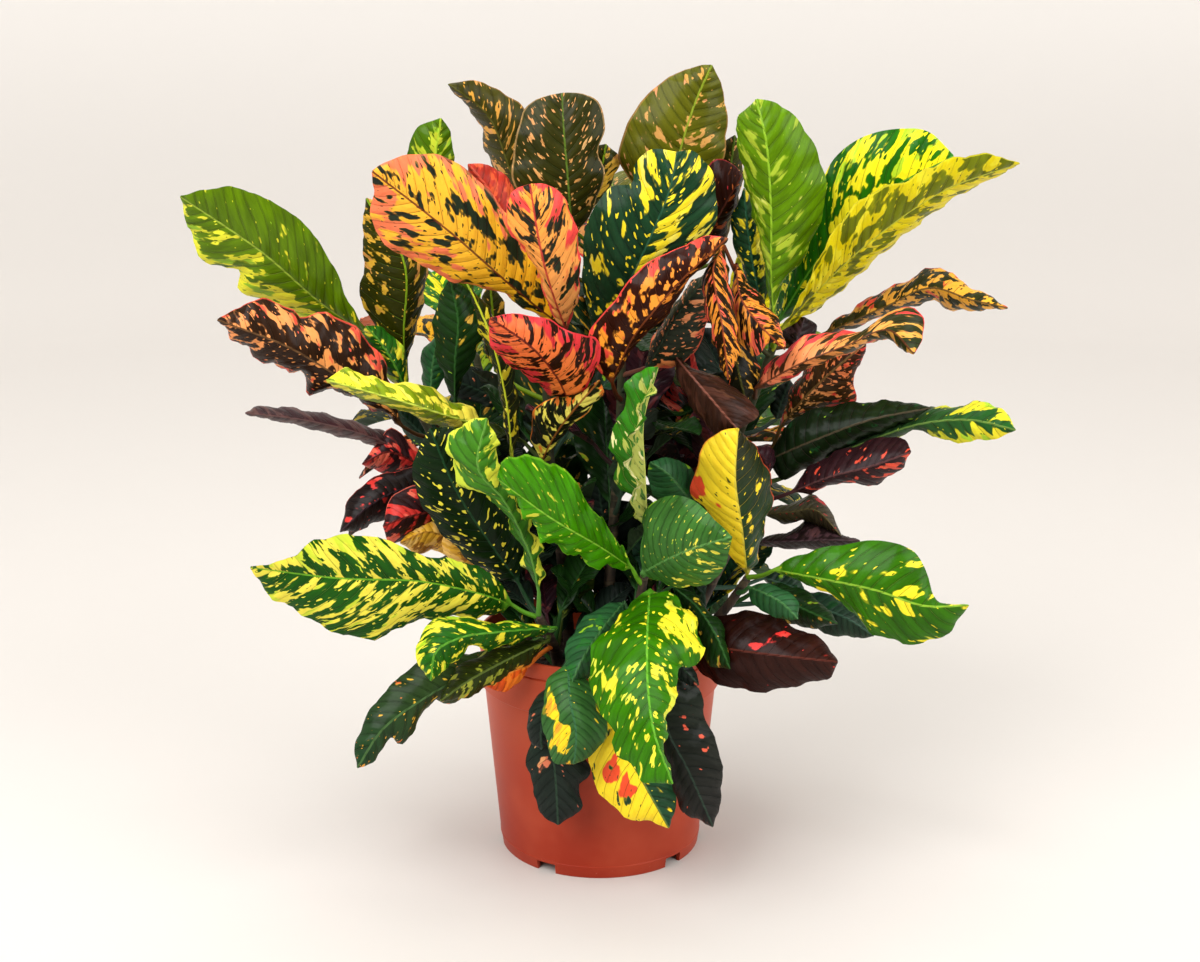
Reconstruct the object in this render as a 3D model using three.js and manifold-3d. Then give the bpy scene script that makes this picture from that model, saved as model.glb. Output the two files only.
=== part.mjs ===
import * as THREE from "three";
import { mergeVertices } from "three/addons/utils/BufferGeometryUtils.js";
import Module from "manifold-3d";

// A croton in a round plastic nursery pot. Millimetres, +Z up. The pot stands on z = 0, its axis is
// x = y = 0, and the front of the plant is -Y.

// Pot
const RIM_RADIUS = 105;
const POT_HEIGHT = 193;
const WALL = 2.4;
const RIM_LOW = 148;
const RIM_STEP = 180;
const BODY_TOP_RADIUS = 101;
const FOOT_RADIUS = 87.5;
const FOOT_HEIGHT = 10;
const FLOOR_THICK = 3;
const RING_HIGH = 11;
// Notches in the foot, in degrees from the front, +X side positive
const NOTCH_TURNS = [-134, -82, -31.5, 45.5, 86, 134];
const NOTCH_WIDE = 18;
const NOTCH_HIGH = 8.5;
const NOTCH_DEEP = 14;
const DRAINS = 4;
const DRAIN_TURN = 22.5;
const DRAIN_RADIUS = 4.5;
const DRAIN_PLACE = 66;
const POT_SIDES = 30;
const SOIL_SIDES = 24;
const HOLE_SIDES = 8;
const HOLE_RADIUS = 6.3;

// Potting soil
const SOIL_EDGE = 160;
const SOIL_CROWN = 166;
const GAP = 0.35;
const SOIL_GAP = 0.8;

// Stems, petioles and blades
const HOLE_FLOOR = 112;
const MERGE = 0.001;
const STEM_LOW = 5.4;
const STEM_TOP = 3.2;
const STEM_SIDES = 6;
const PETIOLE_LOW = 2.3;
const PETIOLE_TOP = 1.5;
const PETIOLE_RISE = 24;
const BLADE_THICK = 0.9;
const LARGE_BLADE = 150;
const MIDDLE_BLADE = 115;
const SMALL_BLADE = 96;
const SHORT_PETIOLE = 64;
const FRONT_SPRING = 0.3;
const BACK_SPRING = 0.025;
const OVER_RIM = 96;
const RIM_CLEAR = 6;
const BASE_CUT = 0.07;
const TIP_CUT = 0.985;

// Eye point from which the leaves in the table below are set out: a sight line through (across, down) is
// followed to the given depth y. One step of the two is 1 / SIGHT_LONG of the distance.
const EYE = new THREE.Vector3(0, -1385, 660);
const EYE_DOWN = THREE.MathUtils.degToRad(13.6);
const SIGHT_LONG = 1673;
const SIGHT_MIDDLE = [600, 481];

// Where each leafy stem leaves the soil, and the points it grows through
const STEMS = {
  left: { foot: [-58, 8], path: [[-84, 10, 250], [-128, 16, 330], [-166, 20, 404]] },
  centre_left: { foot: [-26, 0], path: [[-34, -4, 270], [-44, -10, 370], [-43, -15, 453]] },
  centre: { foot: [4, -10], path: [[10, -14, 270], [16, -20, 360], [18, -25, 440]] },
  tall: { foot: [6, 34], path: [[10, 46, 280], [16, 62, 420], [19, 70, 530]] },
  right: { foot: [40, 18], path: [[66, 14, 260], [112, 8, 350], [147, 0, 446]] },
  right_low: { foot: [66, -8], path: [[92, -10, 230], [120, -12, 290], [141, -15, 348]] },
  front_left: { foot: [-34, -50], path: [[-38, -62, 196], [-44, -76, 216], [-50, -88, 234]] },
  front: { foot: [18, -42], path: [[24, -52, 200], [32, -66, 236], [37, -80, 270]] },
  front_right: { foot: [62, -46], path: [[78, -54, 198], [102, -66, 230], [121, -75, 262]] },
  back_low: { foot: [2, 66], path: [[3, 76, 215], [4, 84, 260], [3, 90, 310]] },
  back_left: { foot: [-42, 52], path: [[-62, 66, 250], [-92, 84, 340], [-112, 98, 420]] },
  back_right: { foot: [42, 54], path: [[62, 68, 250], [92, 86, 340], [112, 100, 410]] },
};

// Leaves with a clear outline: midrib as [across, down, depth] from base to tip, the two edges beside it as
// [across, down], left and right hand when looking from base to tip, and how far each edge lies behind the
// midrib, in mm
const LEAVES = [
  // left stem
  {
    stem: "left", away: [22, -12],
    rib: [[396, 352, 15], [325, 306, 0], [262, 252, -20], [180, 196, -30]],
    left: [[350, 334], [300, 318], [262, 300], [238, 288], [240, 270], [205, 262], [190, 230]],
    right: [[358, 318], [330, 260], [300, 220], [245, 190], [222, 187]],
  },
  {
    stem: "left", away: [30, 16],
    rib: [[402, 426, -10], [388, 406, -20], [331, 372, -35], [286, 346, -50], [217, 320, -55]],
    left: [[382, 412], [361, 402], [338, 389], [310, 392], [301, 372], [276, 367], [249, 351]],
    right: [[384, 363], [361, 333], [338, 317], [319, 313], [301, 316], [269, 299], [246, 304]],
  },
  {
    stem: "left", away: [44, 22],
    rib: [[486, 427, -65], [448, 416, -80], [400, 401, -95], [326, 380, -100]],
    left: [[460, 430], [435, 424], [405, 408], [365, 396]],
    right: [[468, 406], [443, 398], [430, 386], [407, 384], [375, 379], [347, 369]],
  },
  {
    stem: "left", away: [34, 34],
    rib: [[416, 457, -10], [368, 436, -25], [310, 421, -30], [245, 413, -30]],
    left: [[400, 454], [370, 442], [329, 432], [290, 421]],
    right: [[392, 436], [361, 425], [329, 416], [292, 409], [262, 407]],
  },
  {
    stem: "left", away: [12, 24],
    rib: [[404, 375, 25], [404, 330, 15], [404, 262, 15], [366, 198, 20]],
    left: [[390, 352], [374, 325], [359, 290], [364, 273], [363, 232]],
    right: [[411, 345], [420, 315], [426, 264], [410, 228], [385, 205]],
  },
  {
    stem: "left", away: [14, 14],
    rib: [[406, 392, 0], [396, 368, -5], [382, 345, -5], [366, 326, -5]],
    left: [[384, 372], [368, 352], [362, 338]],
    right: [[408, 362], [400, 344], [382, 328]],
  },
  {
    stem: "left", away: [12, 14],
    rib: [[455, 402, -25], [455, 362, -30], [458, 320, -30], [450, 278, -25]],
    left: [[446, 382], [436, 352], [434, 320], [440, 297]],
    right: [[464, 377], [477, 350], [486, 325], [473, 295]],
  },
  {
    stem: "left", away: [12, 12],
    rib: [[430, 398, 20], [433, 362, 30], [440, 332, 30]],
    left: [[422, 378], [424, 350]],
    right: [[444, 378], [449, 352]],
  },
  {
    stem: "left", away: [20, 10],
    rib: [[432, 472, -5], [410, 460, -15], [388, 452, -22], [362, 464, -25]],
    left: [[412, 478], [385, 474]],
    right: [[420, 450], [404, 438], [390, 428], [376, 446]],
  },
  {
    stem: "left", away: [22, 14],
    rib: [[434, 486, -25], [400, 490, -35], [372, 504, -45], [340, 532, -50]],
    left: [[418, 505], [388, 517], [364, 528]],
    right: [[420, 468], [392, 472], [365, 483], [348, 503]],
  },
  {
    stem: "left", away: [16, 14],
    rib: [[450, 508, -45], [425, 513, -60], [404, 518, -68], [383, 526, -72]],
    left: [[434, 532], [412, 539], [390, 543]],
    right: [[434, 490], [414, 485], [392, 498]],
  },
  {
    stem: "left", away: [14, 12],
    rib: [[474, 552, -45], [450, 540, -56], [428, 532, -62], [400, 543, -66]],
    left: [[455, 556], [435, 551], [415, 552]],
    right: [[462, 528], [443, 518], [418, 524]],
  },
  {
    stem: "left", away: [10, 12],
    rib: [[486, 572, -55], [466, 550, -66], [450, 524, -68]],
    left: [[462, 566], [442, 550]],
    right: [[478, 552], [464, 530]],
  },
  // centre left stem
  {
    stem: "centre_left", away: [14, 4],
    rib: [[562, 327, -25], [515, 289, -45], [450, 232, -65], [372, 171, -75]],
    left: [[528, 310], [500, 292], [447, 279], [424, 265], [385, 244], [371, 215], [374, 190]],
    right: [[560, 302], [548, 270], [532, 242], [507, 214], [477, 179], [442, 156], [403, 156], [382, 164]],
  },
  {
    stem: "centre_left", away: [8, 16],
    rib: [[566, 330, -45], [552, 292, -76], [543, 260, -90], [536, 224, -98], [530, 184, -98]],
    left: [[550, 310], [536, 263], [518, 242], [507, 224], [512, 192]],
    right: [[576, 305], [580, 270], [578, 242], [573, 217], [552, 186]],
  },
  {
    stem: "centre_left", away: [18, 10],
    rib: [[568, 400, -80], [556, 376, -110], [530, 346, -145], [490, 318, -160]],
    left: [[548, 392], [530, 378], [512, 366], [494, 350], [489, 334]],
    right: [[584, 390], [598, 361], [598, 340], [569, 331], [550, 320], [532, 316], [509, 314]],
  },
  {
    stem: "centre_left", away: [12, 14],
    rib: [[530, 268, 10], [508, 222, 10], [488, 188, 14], [468, 164, 14]],
    left: [[508, 250], [486, 215], [470, 182]],
    right: [[532, 230], [516, 192], [494, 167]],
  },
  {
    stem: "centre_left", away: [10, 10],
    rib: [[474, 300, 30], [448, 235, 42], [434, 180, 45], [441, 118, 42]],
    left: [[448, 275], [420, 220], [406, 165], [418, 128]],
    right: [[472, 255], [456, 190], [450, 132]],
  },
  {
    stem: "centre_left", away: [14, 26],
    rib: [[541, 462, -60], [556, 434, -80], [574, 410, -95], [600, 380, -98]],
    left: [[533, 440], [532, 416], [545, 401], [578, 393]],
    right: [[552, 446], [567, 428], [588, 410], [602, 394]],
  },
  {
    stem: "centre_left", away: [18, 20],
    rib: [[512, 458, -90], [506, 400, -95], [490, 335, -92], [470, 288, -85]],
    left: [[505, 425], [498, 375], [480, 330]],
    right: [[518, 425], [514, 372], [497, 320]],
  },
  {
    stem: "centre_left", away: [12, 12],
    rib: [[495, 370, 0], [494, 330, 2], [490, 283, 4]],
    left: [[482, 340], [480, 305]],
    right: [[506, 340], [504, 305]],
  },
  // centre stem
  {
    stem: "centre", away: [10, 12],
    rib: [[602, 334, -15], [635, 270, -35], [653, 231, -40], [670, 189, -40], [677, 152, -35]],
    left: [[586, 300], [583, 255], [589, 219], [610, 188], [632, 183], [634, 168], [650, 150]],
    right: [[626, 312], [650, 278], [681, 250], [709, 236], [717, 201], [708, 165], [692, 151]],
  },
  {
    stem: "centre", away: [10, 40],
    rib: [[612, 382, -75], [633, 338, -92], [655, 310, -100], [688, 274, -102], [728, 238, -95]],
    left: [[597, 368], [588, 335], [601, 317], [621, 292], [642, 267], [681, 247], [709, 236]],
    right: [[624, 356], [638, 336], [662, 318], [676, 298], [686, 276], [708, 256]],
  },
  {
    stem: "centre", away: [30, 12],
    rib: [[646, 370, -52], [665, 336, -62], [683, 306, -64], [712, 271, -54]],
    left: [[650, 348], [662, 324], [680, 298], [696, 280]],
    right: [[660, 368], [688, 360], [702, 336], [714, 304], [716, 282]],
  },
  {
    stem: "centre", away: [14, 12],
    rib: [[672, 352, -50], [690, 374, -75], [714, 402, -88], [738, 430, -92]],
    left: [[696, 372], [722, 379], [740, 393], [759, 413]],
    right: [[682, 388], [694, 409], [713, 431]],
  },
  // tall stem
  {
    stem: "tall", away: [8, 8],
    rib: [[572, 238, 20], [568, 180, 15], [564, 132, 20], [562, 93, 28]],
    left: [[540, 212], [513, 180], [516, 140], [525, 109], [541, 98]],
    right: [[592, 210], [604, 172], [598, 150], [605, 127], [601, 107], [585, 94]],
  },
  {
    stem: "tall", away: [34, 12],
    rib: [[552, 262, 52], [512, 175, 60], [488, 116, 60], [448, 84, 52]],
    left: [[525, 232], [486, 150], [481, 126], [466, 104]],
    right: [[550, 220], [532, 140], [520, 102], [507, 97], [490, 85], [470, 81]],
  },
  {
    stem: "tall", away: [14, 12],
    rib: [[576, 232, 50], [590, 194, 52], [602, 165, 58], [606, 144, 60]],
    left: [[566, 200], [580, 168], [594, 148]],
    right: [[600, 200], [614, 178], [619, 158]],
  },
  {
    stem: "tall", away: [12, 10],
    rib: [[666, 210, 55], [683, 140, 50], [697, 98, 55], [712, 65, 58]],
    left: [[636, 188], [619, 158], [625, 130], [647, 95], [676, 74], [698, 66]],
    right: [[700, 196], [720, 168], [727, 125], [723, 92], [716, 73]],
  },
  {
    stem: "tall", away: [12, 22],
    rib: [[700, 262, 10], [716, 222, 0], [729, 198, -4], [742, 175, 0]],
    left: [[694, 222], [702, 176], [716, 160], [732, 164]],
    right: [[720, 248], [731, 220], [738, 194]],
  },
  {
    stem: "tall", away: [12, 12],
    rib: [[716, 262, 80], [726, 200, 85], [735, 135, 85]],
    left: [[706, 200], [716, 150]],
    right: [[738, 205], [742, 150]],
  },
  // right stem
  {
    stem: "right", away: [34, 10],
    rib: [[774, 326, -20], [771, 278, -30], [771, 210, -38], [766, 140, -40], [756, 99, -32]],
    left: [[768, 270], [758, 230], [749, 198], [740, 155], [737, 122]],
    right: [[782, 283], [800, 263], [817, 228], [826, 195], [821, 163], [800, 123], [776, 103]],
  },
  {
    stem: "right", away: [-20, 38],
    rib: [[780, 330, -5], [812, 296, -15], [872, 240, -40], [945, 190, -52], [1020, 163, -58]],
    left: [[800, 298], [820, 256], [841, 221], [871, 193], [910, 179], [939, 163], [985, 154]],
    right: [[812, 312], [842, 289], [890, 246], [954, 197], [990, 178]],
  },
  {
    stem: "right", away: [10, 20],
    rib: [[778, 322, 20], [818, 260, 22], [880, 196, 18], [954, 156, 8]],
    left: [[790, 280], [806, 225], [825, 175], [840, 152], [862, 138], [893, 129], [930, 133]],
    right: [[812, 300], [860, 250], [915, 200]],
  },
  {
    stem: "right", away: [14, 14],
    rib: [[763, 312, 0], [754, 270, -5], [748, 230, -5], [744, 188, 0]],
    left: [[750, 285], [736, 250], [731, 225]],
    right: [[768, 280], [764, 245], [757, 212]],
  },
  {
    stem: "right", away: [14, 16],
    rib: [[772, 322, 22], [790, 300, 42], [804, 270, 58], [810, 236, 68]],
    left: [[780, 285], [790, 255]],
    right: [[806, 302], [818, 265]],
  },
  {
    stem: "right", away: [14, 30],
    rib: [[724, 246, -60], [713, 270, -98], [722, 325, -120], [728, 380, -118]],
    left: [[727, 268], [735, 315], [738, 355]],
    right: [[704, 285], [712, 330], [720, 360]],
  },
  {
    stem: "right", away: [22, 2],
    rib: [[736, 264, -50], [741, 298, -78], [760, 325, -90], [785, 350, -96]],
    left: [[752, 288], [768, 306], [782, 330]],
    right: [[730, 315], [742, 345], [756, 356], [770, 342]],
  },
  {
    stem: "right", away: [12, 12],
    rib: [[746, 325, -40], [736, 352, -60], [740, 378, -66], [746, 402, -64]],
    left: [[756, 350], [758, 382]],
    right: [[724, 362], [730, 390]],
  },
  {
    stem: "right", away: [22, 34],
    rib: [[826, 333, 10], [887, 306, 0], [930, 288, -8], [972, 300, -14], [1008, 308, -16]],
    left: [[836, 320], [852, 310], [878, 293], [905, 282], [926, 270], [942, 268], [960, 281], [990, 297]],
    right: [[850, 328], [878, 316], [910, 306], [937, 301], [952, 310], [980, 309]],
  },
  {
    stem: "right", away: [16, 34],
    rib: [[756, 388, -60], [800, 364, -78], [850, 344, -88], [888, 330, -92], [914, 354, -95]],
    left: [[766, 368], [790, 347], [815, 333], [841, 333], [875, 327], [902, 306], [922, 316], [923, 336]],
    right: [[780, 382], [818, 362], [850, 350], [884, 338], [899, 346]],
  },
  {
    stem: "right", away: [12, 12],
    rib: [[794, 348, -5], [800, 332, 0], [804, 317, 4]],
    left: [[782, 338], [788, 322]],
    right: [[812, 342], [816, 326]],
  },
  // right low stem
  {
    stem: "right_low", away: [24, 14],
    rib: [[780, 428, -10], [806, 396, -24], [836, 368, -32], [866, 343, -34]],
    left: [[788, 398], [803, 372], [822, 354], [846, 343]],
    right: [[806, 416], [835, 406], [857, 402], [852, 378], [862, 362]],
  },
  {
    stem: "right_low", away: [18, 22],
    rib: [[768, 460, -30], [815, 440, -45], [870, 420, -56], [931, 408, -60]],
    left: [[780, 436], [797, 417], [830, 406], [868, 402], [905, 402]],
    right: [[782, 478], [818, 462], [856, 443], [900, 425]],
  },
  {
    stem: "right_low", away: [26, 10],
    rib: [[798, 470, -20], [856, 446, -40], [920, 424, -52], [970, 420, -58], [1016, 430, -60]],
    left: [[836, 449], [880, 428], [910, 413], [930, 406], [951, 408], [976, 402], [1000, 408]],
    right: [[840, 460], [885, 442], [919, 430], [944, 440], [976, 441], [1002, 436]],
  },
  {
    stem: "right_low", away: [20, 22],
    rib: [[792, 492, -40], [830, 477, -58], [872, 466, -68], [911, 452, -70]],
    left: [[800, 478], [822, 459], [855, 446], [885, 437], [905, 440]],
    right: [[815, 491], [841, 481], [864, 485], [885, 480], [902, 466]],
  },
  {
    stem: "right_low", away: [30, 30],
    rib: [[764, 514, -20], [792, 512, -30], [815, 510, -36], [841, 536, -38]],
    left: [[778, 506], [800, 502], [815, 494], [830, 514]],
    right: [[782, 522], [805, 521], [824, 530]],
  },
  {
    stem: "right_low", away: [30, 34],
    rib: [[755, 542, -20], [795, 541, -30], [828, 540, -42], [860, 541, -50]],
    left: [[775, 536], [798, 528], [812, 519], [835, 533]],
    right: [[778, 546], [802, 547], [832, 549]],
  },
  {
    stem: "right_low", away: [12, 10],
    rib: [[768, 474, -36], [765, 460, -46], [752, 446, -52]],
    left: [[752, 468], [746, 456]],
    right: [[776, 460], [772, 449]],
  },
  {
    stem: "right_low", away: [14, 14],
    rib: [[742, 520, -30], [722, 470, -42], [708, 430, -46], [700, 402, -42]],
    left: [[716, 490], [694, 450], [690, 420]],
    right: [[742, 470], [732, 432], [716, 408]],
  },
  // front left stem
  {
    stem: "front_left", away: [14, -8],
    rib: [[511, 604, -90], [482, 594, -110], [420, 581, -130], [340, 578, -152], [250, 567, -160]],
    left: [[494, 615], [450, 617], [402, 625], [380, 638], [333, 631], [300, 612], [270, 595]],
    right: [[506, 592], [489, 572], [450, 559], [420, 555], [390, 541], [355, 535], [317, 540], [285, 560]],
  },
  {
    stem: "front_left", away: [18, 14],
    rib: [[539, 592, -92], [530, 555, -104], [505, 502, -118], [478, 468, -126], [487, 418, -124]],
    left: [[528, 570], [517, 533], [494, 495], [460, 479], [450, 455], [452, 432], [470, 421]],
    right: [[542, 571], [540, 548], [518, 500], [500, 470], [497, 440]],
  },
  {
    stem: "front_left", away: [12, 16],
    rib: [[518, 582, -70], [488, 540, -84], [456, 490, -92], [430, 428, -92]],
    left: [[498, 578], [470, 560], [440, 530], [420, 500], [413, 465]],
    right: [[522, 545], [508, 505], [485, 462], [455, 430]],
  },
  {
    stem: "front_left", away: [22, 14],
    rib: [[556, 628, -105], [500, 632, -132], [460, 638, -150], [436, 652, -160], [431, 681, -165]],
    left: [[517, 642], [490, 649], [470, 646], [456, 661], [443, 670]],
    right: [[517, 622], [490, 623], [452, 616], [428, 624], [418, 645], [419, 666]],
  },
  {
    stem: "front_left", away: [14, 12],
    rib: [[540, 638, -84], [480, 668, -105], [425, 698, -125], [384, 728, -138], [357, 768, -146]],
    left: [[505, 670], [470, 690], [448, 705], [434, 699], [412, 732], [400, 745], [391, 736], [375, 760]],
    right: [[480, 652], [440, 655], [421, 661], [400, 677], [372, 708], [356, 744]],
  },
  {
    stem: "front_left", away: [14, 18],
    rib: [[548, 640, -100], [505, 661, -120], [470, 680, -132], [440, 701, -138]],
    left: [[530, 661], [505, 678], [480, 691], [456, 700]],
    right: [[512, 644], [480, 655], [455, 671]],
  },
  {
    stem: "front_left", away: [8, 8],
    rib: [[528, 666, -100], [506, 674, -112], [486, 686, -116]],
    left: [[520, 681], [510, 690], [497, 690]],
    right: [[512, 661], [494, 670]],
  },
  // front stem
  {
    stem: "front", away: [10, -14],
    rib: [[632, 568, -88], [601, 547, -110], [550, 517, -135], [497, 478, -145]],
    left: [[621, 568], [601, 567], [584, 560], [566, 551], [543, 540], [530, 522], [509, 492]],
    right: [[618, 540], [605, 524], [587, 501], [573, 478], [555, 464], [525, 456], [503, 459]],
  },
  {
    stem: "front", away: [8, 12],
    rib: [[642, 573, -115], [672, 557, -145], [700, 546, -165], [732, 537, -176]],
    left: [[642, 540], [645, 513], [660, 498], [683, 496], [706, 511]],
    right: [[660, 582], [688, 587], [712, 581], [725, 565]],
  },
  {
    stem: "front", away: [14, -34],
    rib: [[646, 524, -112], [644, 470, -140], [643, 421, -148], [658, 367, -140]],
    left: [[631, 498], [617, 478], [614, 455], [612, 430], [624, 409], [626, 386], [640, 370]],
    right: [[632, 514], [637, 485], [628, 464], [640, 420], [652, 386]],
  },
  {
    stem: "front", away: [18, 10],
    rib: [[650, 590, -85], [647, 641, -150], [648, 690, -180], [654, 732, -195], [673, 784, -200]],
    left: [[672, 596], [690, 612], [702, 645], [697, 664], [677, 669], [678, 689], [668, 718], [664, 748]],
    right: [
      [624, 609], [614, 628], [598, 636], [590, 670], [594, 700], [612, 728], [611, 740], [632, 768], [652, 783],
    ],
  },
  {
    stem: "front", away: [22, 14],
    rib: [[624, 602, -70], [600, 632, -106], [582, 660, -130], [571, 685, -137]],
    left: [[626, 628], [612, 655], [590, 678]],
    right: [[604, 606], [585, 618], [569, 641], [564, 666]],
  },
  {
    stem: "front", away: [14, 10],
    rib: [[568, 662, -122], [570, 700, -148], [576, 732, -158], [574, 764, -160]],
    left: [[588, 680], [602, 708], [606, 738], [592, 754]],
    right: [[550, 678], [543, 700], [546, 741], [556, 762]],
  },
  {
    stem: "front", away: [10, 10],
    rib: [[561, 674, -124], [546, 708, -136], [541, 732, -140], [542, 750, -140]],
    left: [[560, 706], [558, 735]],
    right: [[538, 696], [527, 722], [532, 742]],
  },
  {
    stem: "front", away: [14, 10],
    rib: [[562, 676, -116], [553, 740, -124], [556, 785, -128], [558, 825, -130]],
    left: [[572, 705], [582, 752], [590, 772], [579, 787], [581, 808]],
    right: [[548, 705], [530, 745], [527, 768], [534, 786], [539, 811]],
  },
  {
    stem: "front", away: [16, 10],
    rib: [[602, 678, -124], [616, 732, -132], [642, 780, -140], [669, 828, -142]],
    left: [[630, 718], [655, 752], [672, 784], [675, 808]],
    right: [[592, 712], [588, 750], [594, 780], [607, 801], [630, 818], [652, 822]],
  },
  {
    stem: "front", away: [16, 18],
    rib: [[656, 676, -118], [668, 731, -126], [688, 770, -130], [713, 827, -131]],
    left: [[682, 681], [697, 686], [706, 720], [720, 754], [722, 778], [719, 806]],
    right: [[652, 716], [660, 750], [668, 780], [685, 812]],
  },
  {
    stem: "front", away: [10, 14],
    rib: [[672, 586, -75], [698, 608, -92], [716, 636, -106], [730, 669, -112]],
    left: [[692, 592], [708, 610], [722, 625], [727, 648]],
    right: [[684, 618], [698, 646], [712, 665]],
  },
  {
    stem: "front", away: [8, 8],
    rib: [[668, 656, -112], [682, 668, -122], [699, 685, -126]],
    left: [[684, 660], [696, 672]],
    right: [[672, 672], [686, 684]],
  },
  {
    stem: "front", away: [12, 12],
    rib: [[700, 512, -70], [682, 490, -85], [668, 474, -92], [650, 462, -92]],
    left: [[684, 504], [662, 500], [648, 482]],
    right: [[698, 486], [688, 466], [668, 458]],
  },
  // front right stem
  {
    stem: "front_right", away: [14, 34],
    rib: [[747, 574, -72], [742, 530, -95], [735, 478, -106], [738, 428, -102]],
    left: [[734, 560], [715, 519], [699, 503], [690, 490], [696, 472], [705, 443], [722, 431]],
    right: [[757, 558], [762, 533], [772, 500], [771, 480], [757, 450]],
  },
  {
    stem: "front_right", away: [12, 14],
    rib: [[774, 570, -95], [822, 579, -115], [875, 590, -135], [925, 606, -146], [969, 605, -150]],
    left: [[788, 560], [809, 552], [841, 545], [880, 541], [912, 550], [926, 572], [938, 602]],
    right: [[790, 577], [815, 587], [842, 602], [872, 632], [892, 640], [921, 643], [948, 632]],
  },
  {
    stem: "front_right", away: [8, 8],
    rib: [[749, 587, -98], [766, 594, -110], [782, 603, -118], [798, 619, -120]],
    left: [[765, 584], [785, 590], [798, 604]],
    right: [[752, 603], [770, 614], [786, 620]],
  },
  {
    stem: "front_right", away: [14, 14],
    rib: [[758, 588, -60], [785, 600, -78], [810, 612, -88], [838, 624, -92]],
    left: [[785, 584], [818, 600]],
    right: [[770, 612], [802, 627]],
  },
  {
    stem: "front_right", away: [14, 14],
    rib: [[784, 594, -46], [815, 606, -56], [846, 618, -62], [874, 636, -64]],
    left: [[815, 592], [855, 608]],
    right: [[808, 624], [845, 637]],
  },
  {
    stem: "front_right", away: [24, 16],
    rib: [[696, 640, -72], [730, 649, -101], [783, 656, -119], [838, 662, -125]],
    left: [[708, 622], [740, 612], [772, 615], [795, 628], [822, 640]],
    right: [[700, 672], [735, 688], [769, 691], [800, 684], [828, 678]],
  },
];

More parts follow.
